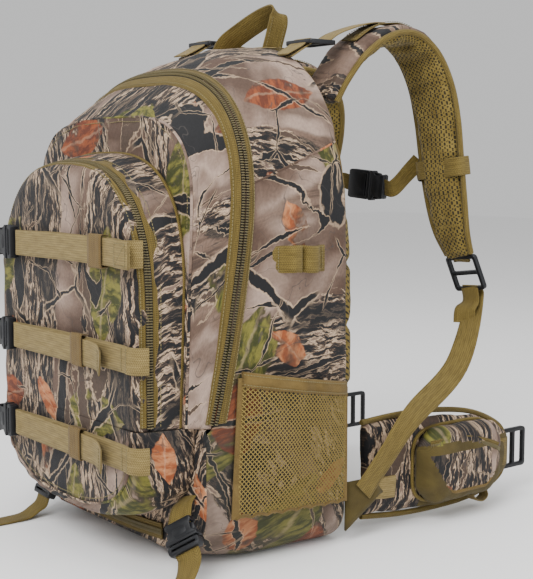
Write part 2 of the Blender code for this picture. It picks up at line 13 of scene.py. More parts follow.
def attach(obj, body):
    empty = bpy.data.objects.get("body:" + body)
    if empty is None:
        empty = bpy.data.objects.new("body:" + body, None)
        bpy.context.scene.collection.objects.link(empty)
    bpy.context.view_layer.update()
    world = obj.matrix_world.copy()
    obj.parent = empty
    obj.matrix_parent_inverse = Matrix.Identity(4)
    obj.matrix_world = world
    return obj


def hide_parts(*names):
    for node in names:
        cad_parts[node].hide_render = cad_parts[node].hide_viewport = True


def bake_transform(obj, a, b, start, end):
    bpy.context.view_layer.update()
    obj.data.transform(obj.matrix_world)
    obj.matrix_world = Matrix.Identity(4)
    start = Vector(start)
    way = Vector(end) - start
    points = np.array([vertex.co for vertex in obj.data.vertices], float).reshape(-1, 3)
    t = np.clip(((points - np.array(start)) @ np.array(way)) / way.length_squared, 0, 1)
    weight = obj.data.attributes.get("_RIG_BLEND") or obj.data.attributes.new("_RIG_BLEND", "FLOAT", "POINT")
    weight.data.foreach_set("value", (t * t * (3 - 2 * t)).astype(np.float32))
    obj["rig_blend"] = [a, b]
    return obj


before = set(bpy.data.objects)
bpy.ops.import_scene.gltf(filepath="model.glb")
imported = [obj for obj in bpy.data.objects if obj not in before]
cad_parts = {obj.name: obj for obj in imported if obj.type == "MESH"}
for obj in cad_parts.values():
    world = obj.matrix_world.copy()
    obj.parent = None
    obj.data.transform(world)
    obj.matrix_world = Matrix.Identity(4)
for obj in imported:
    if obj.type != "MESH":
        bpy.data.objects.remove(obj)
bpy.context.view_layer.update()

# ---- the pack's own sizes, as the frame has them --------------------------------------------
Y_BACK = 0.070
SPLIT_Z = 0.135
LOWER_TOP, LID_FOOT = SPLIT_Z + 0.0001, 0.1352
Y_LOW = -0.095
Y_POCKET = -0.1400
Y_FACE = -0.1530
WEB = 0.025
STRAP_Z = (0.292, 0.200, 0.112)
KEEPER_X = (0.082, 0.046, 0.040)
KEEPER_WIDTH = (0.024, 0.021, 0.021)
QUILT_Z, QUILT_STEP = 0.150, 0.0610
COIL_PITCH, ZIP_POINTS = 0.0024, 320
CLOTH_FRAMES = 14
LIFTER_SEAT = {"right": (0.070, 0.0930, 0.4890), "left": (-0.070, 0.0700, 0.4965)}
NET_CELLS = (30, 28)
FACE_EDGE = (0.1125, 0.1205, 0.1200)
YOKE = (0.100, 0.440)
FAR_TILT = -18.0
WING_X = 0.137
SIDES = (("right", 1), ("left", -1))

# half width, spring height, arch height, arch power
BACK_EDGE = (0.148, 0.300, 0.184, 2.35)
BACK_RING = (0.153, 0.300, 0.187, 2.35)
MID_RING = (0.155, 0.297, 0.184, 2.40)
FORE_RING = (0.155, 0.290, 0.181, 2.60)
RIM_RING = (0.155, 0.280, 0.175, 2.80)
LID_BACK = (0.1545, 0.280, 0.1745, 2.80)
LID_MID = (0.1500, 0.288, 0.147, 3.10)
LID_RING = (0.141, 0.300, 0.112, 3.50)
PKT_BASE = (0.136, 0.240, 0.138, 2.70)
PKT_ZIP = (0.131, 0.232, 0.137, 2.60)
FACE_MID = (0.129, 0.232, 0.135, 2.60)
PKT_FACE = (0.120, 0.230, 0.128, 2.60)


def lerp(a, b, t):
    return a + (b - a) * t


def zip_y(z):
    fall = min(max((0.440 - z) / 0.306, 0.0), 1.0)
    return -0.045 - 0.046 * fall ** 1.8


def lid_y(z):
    return lerp(-0.108, -0.097, (z - 0.134) / 0.279)


def rim_y(z):
    """The front edge of the shell: the zip line above, and out to the lower panel below the split."""
    t = min(max((z - 0.1300) / 0.0050, 0.0), 1.0)
    return lerp(Y_LOW - 0.0018, zip_y(max(z, 0.134)) + 0.0008, t * t * (3 - 2 * t))


def mid_y(z):
    return lerp(zip_y(z), lid_y(z), 0.5)


def at(y):
    return lambda z: y


# ---- node helpers ---------------------------------------------------------------------------
class Shader:
    """A small writer of node materials: every call adds one node and returns its output."""

    def __init__(self, tree):
        self.tree = tree

    def node(self, kind, **props):
        made = self.tree.nodes.new(kind)
        for key, value in props.items():
            setattr(made, key, value)
        return made

    def put(self, socket, value):
        if isinstance(value, bpy.types.NodeSocket):
            self.tree.links.new(value, socket)
        elif value is not None:
            socket.default_value = value

    def math(self, operation, a, b=None, c=None, clamp=False):
        made = self.node("ShaderNodeMath", operation=operation, use_clamp=clamp)
        for socket, value in zip(made.inputs, (a, b, c)):
            self.put(socket, value)
        return made.outputs[0]

    def vector(self, operation, a, b=None, scale=None):
        made = self.node("ShaderNodeVectorMath", operation=operation)
        self.put(made.inputs[0], a)
        if b is not None:
            self.put(made.inputs[1], b)
        if scale is not None:
            self.put(made.inputs["Scale"], scale)
        return made.outputs["Value"] if operation in ("LENGTH", "DOT_PRODUCT") else made.outputs["Vector"]

    def mix(self, factor, a, b, blend="MIX"):
        made = self.node("ShaderNodeMix", data_type="RGBA", blend_type=blend)
        self.put(made.inputs["Factor"], factor)
        self.put(made.inputs["A"], a if isinstance(a, bpy.types.NodeSocket) else (*a, 1.0))
        self.put(made.inputs["B"], b if isinstance(b, bpy.types.NodeSocket) else (*b, 1.0))
        return made.outputs["Result"]

    def noise(self, where, scale, detail=2.0, rough=0.5, warp=0.0):
        made = self.node("ShaderNodeTexNoise", noise_dimensions="3D")
        self.put(made.inputs["Vector"], where)
        made.inputs["Scale"].default_value = scale
        made.inputs["Detail"].default_value = detail
        made.inputs["Roughness"].default_value = rough
        made.inputs["Distortion"].default_value = warp
        return made.outputs["Fac"], made.outputs["Color"]

    def step(self, value, low, high):
        """0 below low, 1 above high, with a smooth turn between."""
        made = self.node("ShaderNodeMapRange", interpolation_type="SMOOTHSTEP")
        self.put(made.inputs["Value"], value)
        made.inputs["From Min"].default_value = low
        made.inputs["From Max"].default_value = high
        return made.outputs["Result"]

    def ramp(self, value, *stops):
        made = self.node("ShaderNodeValToRGB")
        self.put(made.inputs["Fac"], value)
        band = made.color_ramp
        while len(band.elements) < len(stops):
            band.elements.new(0.5)
        for element, (place, colour) in zip(band.elements, stops):
            element.position = place
            element.color = (*colour, 1.0)
        return made.outputs["Color"]

    def stretch(self, where, scale, turn=0.0, shift=(0, 0, 0)):
        made = self.node("ShaderNodeMapping")
        self.put(made.inputs["Vector"], where)
        made.inputs["Scale"].default_value = scale
        made.inputs["Rotation"].default_value = (0, 0, turn)
        made.inputs["Location"].default_value = shift
        return made.outputs["Vector"]

    def bump(self, height, distance, strength=1.0, under=None):
        made = self.node("ShaderNodeBump")
        made.inputs["Strength"].default_value = strength
        made.inputs["Distance"].default_value = distance
        self.put(made.inputs["Height"], height)
        if under is not None:
            self.put(made.inputs["Normal"], under)
        return made.outputs["Normal"]

    def cloth_place(self):
        """Where a point lies on its cut panel, in metres: along u and across v."""
        made = self.node("ShaderNodeAttribute", attribute_name="panel")
        return made.outputs["Vector"]


def blank(name, rough=0.8, sheen=0.0, specular=0.35, metal=0.0):
    mat = bpy.data.materials.new(name)
    mat.use_nodes = True
    base = mat.node_tree.nodes["Principled BSDF"]
    base.inputs["Roughness"].default_value = rough
    base.inputs["Specular IOR Level"].default_value = specular
    base.inputs["Metallic"].default_value = metal
    base.inputs["Sheen Weight"].default_value = sheen
    return mat, Shader(mat.node_tree), base


# ---- camouflage print -----------------------------------------------------------------------
CHARCOAL = (0.006, 0.006, 0.007)
BARK = (0.060, 0.038, 0.026)
TAUPE = (0.165, 0.108, 0.080)
PALE = (0.330, 0.238, 0.188)
BROWN = (0.072, 0.041, 0.027)
CREAM = (0.520, 0.375, 0.245)
RUST = (0.235, 0.058, 0.016)
LEAF = (0.032, 0.036, 0.006)
LEAF_LIGHT = (0.155, 0.140, 0.024)


def leaf_mask(s, where, size, wide, seed):
    """Leaf shapes scattered one to a cell, each turned its own way. Returns shape, rib and lot."""
    cells = s.node("ShaderNodeTexVoronoi", voronoi_dimensions="2D", feature="F1")
    s.put(cells.inputs["Vector"], s.stretch(where, (1, 1, 1), 0.0, (seed, seed * 0.37, 0)))
    cells.inputs["Scale"].default_value = 1.0 / size
    cells.inputs["Randomness"].default_value = 0.9
    scaled = s.vector("SCALE", s.stretch(where, (1, 1, 1), 0.0, (seed, seed * 0.37, 0)), scale=1.0 / size)
    local = s.vector("SUBTRACT", scaled, s.vector("SCALE", cells.outputs["Position"], scale=1.0 / size))
    parts = s.node("ShaderNodeSeparateXYZ")
    s.put(parts.inputs[0], local)
    lot = s.node("ShaderNodeSeparateXYZ")
    s.put(lot.inputs[0], cells.outputs["Color"])
    turn = s.math("MULTIPLY", lot.outputs[0], 6.28)
    c, n = s.math("COSINE", turn), s.math("SINE", turn)
    along = s.math("ADD", s.math("MULTIPLY", parts.outputs[0], c), s.math("MULTIPLY", parts.outputs[1], n))
    across = s.math("SUBTRACT", s.math("MULTIPLY", parts.outputs[1], c),
                    s.math("MULTIPLY", parts.outputs[0], n))
    side = s.math("ABSOLUTE", across)
    belly = s.math("SUBTRACT", wide, s.math("MULTIPLY", s.math("MULTIPLY", along, along), wide * 4.6))
    edge = s.math("SUBTRACT", belly, side)
    shape = s.step(edge, 0.0, 0.025)
    rib = s.math("SUBTRACT", 1.0, s.step(side, 0.004, 0.022))
    return shape, rib, lot.outputs[1], lot.outputs[2]


def branches(s, where, scale, thick, cut_scale, cut, shift):
    """A broken net of branches: dark wood and the lit rim beside it."""
    cells = s.node("ShaderNodeTexVoronoi", voronoi_dimensions="2D", feature="DISTANCE_TO_EDGE")
    s.put(cells.inputs["Vector"], s.stretch(where, (1, 1, 1), 0.0, shift))
    cells.inputs["Scale"].default_value = scale
    gap = cells.outputs["Distance"]
    swell, _ = s.noise(s.stretch(where, (1, 1, 1), 0, shift), cut_scale * 2.3, 1.0)
    size = s.math("MULTIPLY", s.math("SUBTRACT", swell, 0.28), thick * 2.4)
    there, _ = s.noise(s.stretch(where, (1, 1, 1), 0, (shift[1], shift[0], 0)), cut_scale, 1.5)
    open_to = s.step(there, cut, cut + 0.05)
    wood = s.math("MULTIPLY", s.step(s.math("SUBTRACT", size, gap), 0.0, 0.006), open_to)
    rim = s.math("MULTIPLY", s.step(s.math("SUBTRACT", s.math("ADD", size, thick * 0.30), gap), 0.0, 0.006),
                 open_to)
    return wood, rim


def camo_print():
    """The printed pattern as a node group: Vector in metres to Color."""
    group = bpy.data.node_groups.new("forest print", "ShaderNodeTree")
    group.interface.new_socket("Vector", in_out="INPUT", socket_type="NodeSocketVector")
    group.interface.new_socket("Color", in_out="OUTPUT", socket_type="NodeSocketColor")
    s = Shader(group)
    where = s.node("NodeGroupInput").outputs[0]
    _, swirl = s.noise(where, 26.0, 2.0)
    drift = s.vector("SCALE", s.vector("SUBTRACT", swirl, (0.5, 0.5, 0.5)), scale=0.010)
    bent = s.vector("ADD", where, drift)
    _, crumb = s.noise(where, 170.0, 2.0)
    ragged = s.vector("ADD", bent, s.vector("SCALE", s.vector("SUBTRACT", crumb, (0.5, 0.5, 0.5)),
                                            scale=0.004))

    # soft distance: pale and brown ground
    ground, _ = s.noise(bent, 10.0, 3.0, 0.55, 0.4)
    colour = s.ramp(ground, (0.38, BROWN), (0.46, TAUPE), (0.56, PALE), (0.64, TAUPE))
    haze, _ = s.noise(s.stretch(bent, (1.0, 0.30, 1.0), 0.5), 26.0, 3.0, 0.6)
    colour = s.mix(s.math("MULTIPLY", s.step(haze, 0.48, 0.62), 0.75), colour, BROWN)

    # brown boards of old wood
    board, _ = s.noise(s.stretch(bent, (1.0, 0.22, 1.0), 1.1, (0.7, 0.3, 0)), 15.0, 1.0)
    lines, _ = s.noise(s.stretch(bent, (150.0, 9.0, 1.0), 1.1), 1.0, 3.0, 0.6)
    timber = s.ramp(lines, (0.38, (0.055, 0.034, 0.024)), (0.50, (0.140, 0.088, 0.062)), (0.62, TAUPE))
    colour = s.mix(s.step(board, 0.54, 0.58), colour, timber)

    # thick trunks of furrowed bark, near black with cream ridges
    for turn, shift, low in ((0.42, (0.2, 0.7, 0), 0.510), (-0.62, (1.3, 0.2, 0), 0.545)):
        trunk, _ = s.noise(s.stretch(bent, (1.0, 0.22, 1.0), turn, shift), 11.0, 1.0, 0.45)
        ridge, _ = s.noise(s.stretch(ragged, (300.0, 58.0, 1.0), turn), 1.0, 4.0, 0.62, 0.4)
        shade, _ = s.noise(s.stretch(bent, (1.0, 0.4, 1.0), turn), 40.0, 2.0)
        bark = s.ramp(ridge, (0.45, CHARCOAL), (0.52, BARK), (0.565, CREAM), (0.63, TAUPE))
        bark = s.mix(s.math("MULTIPLY", s.step(shade, 0.48, 0.60), 0.88), bark, CHARCOAL)
        torn = s.math("ADD", trunk, s.math("MULTIPLY", s.math("SUBTRACT", ridge, 0.5), 0.10))
        colour = s.mix(s.step(torn, low, low + 0.012), colour, bark)

    # leaves
    for size, wide, seed, share, dark, light in (
            (0.096, 0.25, 3.1, 0.40, LEAF, LEAF_LIGHT),
            (0.078, 0.21, 7.7, 0.24, (0.10, 0.022, 0.008), RUST),
            (0.046, 0.20, 1.3, 0.17, RUST, (0.42, 0.17, 0.07))):
        shape, rib, lot, _ = leaf_mask(s, ragged, size, wide, seed)
        vein, _ = s.noise(s.stretch(ragged, (1.0, 3.0, 1.0), 0.9), 60.0, 3.0, 0.6)
        body = s.mix(s.step(vein, 0.40, 0.62), dark, light)
        body = s.mix(s.math("MULTIPLY", rib, 0.22), body, CREAM)
        dusk, _ = s.noise(s.stretch(bent, (1.0, 1.0, 1.0), 0.0, (seed, 0, 0)), 36.0, 3.0, 0.6)
        body = s.mix(s.math("MULTIPLY", s.step(dusk, 0.50, 0.62), 0.8), body, (0.040, 0.026, 0.018))
        keep = s.math("MULTIPLY", shape, s.math("LESS_THAN", lot, share))
        keep = s.math("MULTIPLY", keep, s.math("SUBTRACT", 1.0,
                                               s.math("MULTIPLY", s.step(dusk, 0.60, 0.64), 0.9)))
        colour = s.mix(keep, colour, body)

    # branches and twigs: long wandering lines with a lit rim
    for scale, stretch, turn, wide, seed, dark in ((6.0, 0.20, 0.50, 0.0075, 1.7, CHARCOAL),
                                                   (7.0, 0.18, -0.72, 0.0065, 4.1, CHARCOAL),
                                                   (11.0, 0.26, 1.30, 0.0085, 6.6, BARK),
                                                   (13.0, 0.24, 0.05, 0.0080, 9.2, CHARCOAL)):
        field, _ = s.noise(s.stretch(ragged, (1.0, stretch, 1.0), turn, (seed, seed * 0.6, 0)), scale, 0.8,
                           0.40)
        off = s.math("ABSOLUTE", s.math("SUBTRACT", field, 0.5))
        grow, _ = s.noise(s.stretch(bent, (1, 1, 1), 0, (seed, 0, 0)), 14.0, 1.0)
        size = s.math("MULTIPLY", s.math("SUBTRACT", grow, 0.46), wide * 9.0)
        edge = s.math("SUBTRACT", size, off)
        rim = s.step(s.math("ADD", edge, wide * 0.30), 0.0, 0.0012)
        colour = s.mix(s.math("MULTIPLY", rim, 0.45), colour, CREAM)
        colour = s.mix(s.step(edge, 0.0, 0.0012), colour, dark)
    for scale, thick, cut_scale, cut, shift in ((8.5, 0.034, 12.0, 0.50, (0.31, 0.12, 0)),
                                                (15.0, 0.026, 20.0, 0.53, (0.93, 0.44, 0))):
        wood, rim = branches(s, ragged, scale, thick, cut_scale, cut, shift)
        colour = s.mix(s.math("MULTIPLY", rim, 0.50), colour, CREAM)
        colour = s.mix(wood, colour, CHARCOAL)

    # drawn outlines and print grain
    line, _ = s.noise(bent, 24.0, 2.5, 0.5, 0.5)
    thin = s.math("SUBTRACT", 1.0, s.step(s.math("ABSOLUTE", s.math("SUBTRACT", line, 0.47)), 0.001, 0.004))
    colour = s.mix(s.math("MULTIPLY", thin, 0.65), colour, (0.05, 0.042, 0.038))
    grain, _ = s.noise(where, 420.0, 2.0)
    colour = s.mix(0.30, colour, s.ramp(grain, (0.3, (0.25, 0.25, 0.25)), (0.7, (0.75, 0.75, 0.75))),
                   "SOFT_LIGHT")
    out = s.node("NodeGroupOutput")
    s.put(out.inputs[0], colour)
    return group


PRINT = camo_print()


def weave_height(s, where, pitch):
    """Plain weave: threads over and under, as a height from 0 to 1."""
    parts = s.node("ShaderNodeSeparateXYZ")
    s.put(parts.inputs[0], where)
    turns = 2 * math.pi / pitch
    u = s.math("SINE", s.math("MULTIPLY", parts.outputs[0], turns))
    v = s.math("SINE", s.math("MULTIPLY", parts.outputs[1], turns))
    return s.math("ADD", s.math("MULTIPLY", s.math("MULTIPLY", u, v), 0.5), 0.5)


def camo(name, shift, turn=0.0, dark=0.0):
    """The woodland print on a woven cloth, moved by shift and turned, with painted shade mixed in toward near
    black by the share dark.
    """
    mat, s, base = blank(name, 0.70, 0.03, 0.28)
    where = s.cloth_place()
    print_node = s.node("ShaderNodeGroup")
    print_node.node_tree = PRINT
    s.put(print_node.inputs[0], s.stretch(where, (0.80, 0.80, 1), turn, shift))
    weave = weave_height(s, where, 0.0011)
    colour = print_node.outputs[0]
    colour = s.mix(0.16, colour, s.ramp(weave, (0.0, (0.2, 0.2, 0.2)), (1.0, (0.8, 0.8, 0.8))),
                   "SOFT_LIGHT")
    # painted shade: darkens the print toward near black by the share dark
    if dark:
        colour = s.mix(dark, colour, (0.02, 0.02, 0.015))
    s.put(base.inputs["Base Color"], colour)
    slack, _ = s.noise(where, 34.0, 3.0, 0.55)
    under = s.bump(slack, 0.0035, 0.35)
    s.put(base.inputs["Normal"], s.bump(weave, 0.00018, 0.5, under))
    return mat


def tinted_cloth(name, dark, light, pitch=0.0012, rough=0.85, sheen=0.06):
    """A plain woven cloth in one colour with slight fading."""
    mat, s, base = blank(name, rough, sheen, 0.25)
    where = s.cloth_place()
    weave = weave_height(s, where, pitch)
    fade, _ = s.noise(where, 40.0, 4.0, 0.6)
    colour = s.ramp(fade, (0.35, dark), (0.65, light))
    colour = s.mix(0.35, colour, s.ramp(weave, (0.0, (0.15, 0.15, 0.15)), (1.0, (0.8, 0.8, 0.8))),
                   "SOFT_LIGHT")
    s.put(base.inputs["Base Color"], colour)
    under = s.bump(fade, 0.0012, 0.35)
    s.put(base.inputs["Normal"], s.bump(weave, 0.00025, 0.7, under))
    return mat


def webbing(name, dark, light, rough=0.78):
    """Flat webbing: ribs across its length, two tight edges and a herringbone in between."""
    mat, s, base = blank(name, rough, 0.06, 0.25)
    where = s.cloth_place()
    parts = s.node("ShaderNodeSeparateXYZ")
    s.put(parts.inputs[0], where)
    along, across = parts.outputs[0], parts.outputs[1]
    skew = s.math("PINGPONG", across, 0.0042)
    rib = s.math("SINE", s.math("MULTIPLY", s.math("ADD", along, s.math("MULTIPLY", skew, 0.55)),
                                2 * math.pi / 0.0017))
    cord = s.math("SINE", s.math("MULTIPLY", across, 2 * math.pi / 0.0021))
    height = s.math("ADD", s.math("MULTIPLY", rib, 0.32), s.math("MULTIPLY", cord, 0.18))
    height = s.math("ADD", height, 0.5)
    fade, _ = s.noise(s.stretch(where, (1.0, 6.0, 1.0)), 60.0, 3.0, 0.6)
    colour = s.ramp(fade, (0.30, dark), (0.70, light))
    colour = s.mix(0.60, colour, s.ramp(height, (0.1, (0.12, 0.12, 0.12)), (0.9, (0.82, 0.82, 0.82))),
                   "SOFT_LIGHT")
    s.put(base.inputs["Base Color"], colour)
    s.put(base.inputs["Normal"], s.bump(height, 0.0005, 0.75))
    return mat


def air_mesh(name, dark, light, pitch=0.0050):
    """Spacer mesh: rows of small open holes, every second row set over by half a step, each hole painted near
    black as the shade inside it.
    """
    mat, s, base = blank(name, 0.85, 0.06, 0.22)
    where = s.cloth_place()
    parts = s.node("ShaderNodeSeparateXYZ")
    s.put(parts.inputs[0], where)
    u = s.math("DIVIDE", parts.outputs[0], pitch)
    v = s.math("DIVIDE", parts.outputs[1], pitch * 0.62)
    odd = s.math("MULTIPLY", s.math("FLOORED_MODULO", s.math("FLOOR", v), 2.0), 0.5)
    du = s.math("SUBTRACT", s.math("FRACT", s.math("ADD", u, odd)), 0.5)
    dv = s.math("MULTIPLY", s.math("SUBTRACT", s.math("FRACT", v), 0.5), 0.62)
    near = s.math("SQRT", s.math("ADD", s.math("MULTIPLY", du, du), s.math("MULTIPLY", dv, dv)))
    yarn = s.step(near, 0.20, 0.27)
    fade, _ = s.noise(where, 45.0, 3.0, 0.6)
    body = s.ramp(fade, (0.35, dark), (0.65, light))
    knit = weave_height(s, where, 0.0009)
    body = s.mix(0.5, body, s.ramp(knit, (0.0, (0.2, 0.2, 0.2)), (1.0, (0.78, 0.78, 0.78))), "SOFT_LIGHT")
    # painted shade: the holes take a near-black colour for the shade inside them
    s.put(base.inputs["Base Color"], s.mix(yarn, (0.022, 0.018, 0.008), body))
    s.put(base.inputs["Normal"], s.bump(yarn, 0.0012, 0.9))
    return mat


def plastic(name, colour, rough=0.42):
    """Moulded acetal: fine sparkle in the surface and slightly paler sharp convex edges."""
    mat, s, base = blank(name, rough, 0.0, 0.30)
    where = s.node("ShaderNodeTexCoord").outputs["Object"]
    spark, _ = s.noise(where, 900.0, 2.0)
    wear, _ = s.noise(where, 70.0, 4.0, 0.6)
    pale = tuple(min(c * 1.6 + 0.004, 1.0) for c in colour)
    tone = s.mix(s.step(wear, 0.50, 0.72), colour, pale)
    # paler where the surface turns sharply outward, by Pointiness
    edge = s.node("ShaderNodeNewGeometry").outputs["Pointiness"]
    tone = s.mix(s.math("MULTIPLY", s.step(edge, 0.53, 0.60), 0.5), tone,
                 tuple(min(c * 3 + 0.012, 1.0) for c in colour))
    s.put(base.inputs["Base Color"], tone)
    s.put(base.inputs["Roughness"], s.math("ADD", s.math("MULTIPLY", wear, 0.25), rough - 0.12))
    s.put(base.inputs["Normal"], s.bump(spark, 0.00008, 0.4))
    return mat


def metal(name, colour, rough=0.35):
    mat, s, base = blank(name, rough, 0.0, 0.5, 1.0)
    where = s.node("ShaderNodeTexCoord").outputs["Object"]
    brush, _ = s.noise(s.stretch(where, (1.0, 1.0, 0.08)), 1400.0, 2.0)
    s.put(base.inputs["Base Color"], s.ramp(brush, (0.3, tuple(c * 0.7 for c in colour)), (0.7, colour)))
    s.put(base.inputs["Normal"], s.bump(brush, 0.00005, 0.3))
    return mat


MATS = {
    "side": camo("camo side", (0.31, 0.02, 0.0)),
    "yoke": camo("camo yoke", (1.05, 0.20, 0.0), 0.35),
    "gusset": camo("camo lid gusset", (1.27, 0.15, 0.0), 0.2),
    "panel": camo("camo lid panel", (2.11, 0.66, 0.0), -0.3),
    "pgusset": camo("camo pocket gusset", (1.71, 0.92, 0.0)),
    "face": camo("camo pocket face", (0.12, 1.34, 0.0)),
    # the shell cloth behind the side nets carries painted shade (dark 0.35) for the shade the net and pocket cast
    # on it
    "netback_painted_shade": camo("camo behind net with painted shade", (2.73, 1.18, 0.0), 1.2, 0.35),
    "boot": camo("camo boot", (2.73, 1.18, 0.0), 1.2),
    "low": camo("camo lower front", (3.10, 0.38, 0.0), 0.5),
    "pouch": camo("camo pouch", (0.64, 2.05, 0.0)),
    "strapcamo": camo("camo strap edge", (1.94, 2.33, 0.0)),
    "olive": tinted_cloth("olive cloth", (0.052, 0.037, 0.008), (0.080, 0.058, 0.014)),
    "binding": tinted_cloth("olive binding", (0.105, 0.066, 0.016), (0.160, 0.104, 0.030), 0.0009),
    "tape": webbing("zip tape", (0.085, 0.058, 0.010), (0.130, 0.090, 0.019)),
    "khaki": webbing("khaki webbing", (0.150, 0.106, 0.034), (0.235, 0.172, 0.062)),
    "webbing": webbing("olive webbing", (0.098, 0.067, 0.013), (0.160, 0.114, 0.026)),
    "elastic": webbing("tan elastic", (0.098, 0.060, 0.017), (0.148, 0.096, 0.030)),
    "mesh": air_mesh("olive air mesh", (0.125, 0.086, 0.018), (0.205, 0.148, 0.036)),
    "net": tinted_cloth("net yarn", (0.150, 0.104, 0.024), (0.270, 0.196, 0.056), 0.0010),
    "lining": tinted_cloth("dark lining", (0.015, 0.013, 0.009), (0.030, 0.026, 0.018)),
    "thread": tinted_cloth("thread", (0.130, 0.105, 0.045), (0.220, 0.180, 0.085), 0.0006),
    "coil": plastic("nylon coil", (0.052, 0.041, 0.016), 0.50),
    "plastic": plastic("charcoal acetal", (0.005, 0.0055, 0.007)),
    "slider": metal("slider finish", (0.16, 0.145, 0.12), 0.38),
    "stay": metal("bare aluminium", (0.72, 0.72, 0.74), 0.33),
}


# ---- paths and surfaces ---------------------------------------------------------------------
def run_along(path):
    """The length of the path up to each of its points."""
    return np.concatenate([[0.0], np.cumsum(np.linalg.norm(np.diff(path, axis=0), axis=1))])


def resample(points, n):
    """n + 1 points at equal steps along a polyline."""
    pts = np.array([tuple(p) for p in points], float)
    run = run_along(pts)
    where = np.linspace(0.0, run[-1], n + 1)
    return np.stack([np.interp(where, run, pts[:, k]) for k in range(pts.shape[1])], axis=1)


def eased(points, steps):
    """A smooth curve through the points."""
    pts = np.array([tuple(p) for p in points], float)
    pts = np.vstack([2 * pts[0] - pts[1], pts, 2 * pts[-1] - pts[-2]])
    out = []
    for i in range(1, len(pts) - 2):
        a, b, c, d = pts[i - 1:i + 3]
        for k in range(steps):
            t = k / steps
            out.append(0.5 * (2 * b + (c - a) * t + (2 * a - 5 * b + 4 * c - d) * t * t
                              + (3 * b - a - 3 * c + d) * t ** 3))
    return np.array(out + [pts[-2]])


def arch(ring, foot, n):
    """From the right foot over the top to the left foot, as (x, z)."""
    w, spring, height, power = ring[:4]
    half = [(w, lerp(foot, spring, k / 12)) for k in range(13)]
    for k in range(1, 121):
        a = math.pi / 2 * k / 120
        half.append((w * max(math.cos(a), 0.0) ** (2 / power),
                     spring + height * math.sin(a) ** (2 / power)))
    return resample(half + [(-x, z) for x, z in reversed(half[:-1])], n)


def hull(ring, low, corner, n):
    """The whole outline from the middle of the floor, round by the right side, and back to it."""
    w = ring[0]
    base = [(0.0, low), (w - corner, low)]
    for k in range(1, 13):
        a = math.pi / 2 * k / 12
        base.append((w - corner + corner * math.sin(a), low + corner - corner * math.cos(a)))
    over = arch(ring, low + corner, 400)
    return resample(base + [tuple(p) for p in over] + [(-x, z) for x, z in reversed(base)], n)


def lay(outline, y_of):
    return np.array([(x, y_of(z), z) for x, z in outline])


def between(stations, steps):
    """Rows that run smoothly through the station rows."""
    stack = np.array(stations)
    return eased(stack.reshape(len(stack), -1), steps).reshape(-1, stack.shape[1], 3)


def row_normals(rows):
    du = np.gradient(rows, axis=1)
    dv = np.gradient(rows, axis=0)
    out = np.cross(du, dv)
    size = np.linalg.norm(out, axis=2, keepdims=True)
    return out / np.maximum(size, 1e-9)


def swell(rows, height, away=None):
    """Move the rows along their normals by height(point); away is a point the normals turn from."""
    normals = row_normals(rows)
    if away is not None:
        flip = np.sign(np.sum(normals * (rows - np.array(away)), axis=2, keepdims=True))
        normals = normals * np.where(flip == 0, 1, flip)
    lift = np.array([[height(Vector(p), i / (len(rows) - 1), j / (len(row) - 1)) for j, p in enumerate(row)]
                     for i, row in enumerate(rows)])
    return rows + normals * lift[:, :, None]


def crease(p, scale, seed=0.0):
    """Soft folds: sharp-bottomed noise from -1 to 1."""
    n = noise.noise(Vector((p.x * scale + seed, p.y * scale - seed, p.z * scale * 0.7)))
    m = noise.noise(Vector((p.x * scale * 2.3 - seed, p.y * scale * 2.3, p.z * scale * 1.9 + seed)))
    return (1 - 2 * abs(n) ** 0.8) * 0.7 + m * 0.5


def cloth(name, rows, mats, thick=0.0012, place=None, pick=None, inside=None):
    """A cloth panel from a grid of points, with its cut-panel position kept on each vertex.

    inside is a point on the lined side of the cloth, for a panel whose back shows.
    """
    rows = np.array(rows)
    ni, nj = rows.shape[:2]
    mesh = bpy.data.meshes.new(name)
    index = np.arange(ni * nj).reshape(ni, nj)
    quads = np.stack([index[:-1, :-1], index[:-1, 1:], index[1:, 1:], index[1:, :-1]], axis=-1).reshape(-1,
        4)
    mesh.from_pydata(rows.reshape(-1, 3).tolist(), [], quads.tolist())
    panel = np.zeros((ni, nj, 3))
    if place:
        panel = np.array([[place(p) for p in row] for row in rows])
    else:
        along = np.cumsum(np.linalg.norm(np.diff(rows, axis=1, prepend=rows[:, :1]), axis=2), axis=1)
        across = np.cumsum(np.linalg.norm(np.diff(rows, axis=0, prepend=rows[:1]), axis=2), axis=0)
        panel[:, :, 0] = along - along[:, nj // 2:nj // 2 + 1]
        panel[:, :, 1] = across[:, nj // 2:nj // 2 + 1]
    layer = mesh.attributes.new("panel", "FLOAT_VECTOR", "POINT")
    layer.data.foreach_set("vector", panel.reshape(-1).astype(np.float32))
    obj = bpy.data.objects.new(name, mesh)
    bpy.context.scene.collection.objects.link(obj)
    mats = mats if isinstance(mats, (list, tuple)) else [mats]
    for mat in mats:
        mesh.materials.append(MATS[mat])
    if pick:
        for face in mesh.polygons:
            face.material_index = pick(face.center)
    mesh.shade_smooth()
    if inside:
        middle = mesh.polygons[len(mesh.polygons) // 2 + nj // 4]
        if middle.normal.dot(middle.center - Vector(inside)) < 0:
            mesh.flip_normals()
        for _ in mats:
            mesh.materials.append(MATS["lining"])
    if thick:
        solid = obj.modifiers.new("thick", "SOLIDIFY")
        solid.thickness = thick
        solid.offset = 0
        solid.material_offset = len(mats) if inside else 0
        bake(obj)
    return obj


def bake(obj):
    """Make the modifiers part of the mesh."""
    bpy.context.view_layer.update()
    made = bpy.data.meshes.new_from_object(obj.evaluated_get(bpy.context.evaluated_depsgraph_get()))
    obj.modifiers.clear()
    old = obj.data
    obj.data = made
    bpy.data.meshes.remove(old)
    obj.data.name = obj.name
    return obj


def solid(name, verts, faces, mat, smooth=40):
    mesh = bpy.data.meshes.new(name)
    mesh.from_pydata([tuple(v) for v in verts], [], faces)
    mesh.materials.append(MATS[mat])
    mesh.shade_smooth()
    mesh.set_sharp_from_angle(angle=math.radians(smooth))
    obj = bpy.data.objects.new(name, mesh)
    bpy.context.scene.collection.objects.link(obj)
    return obj


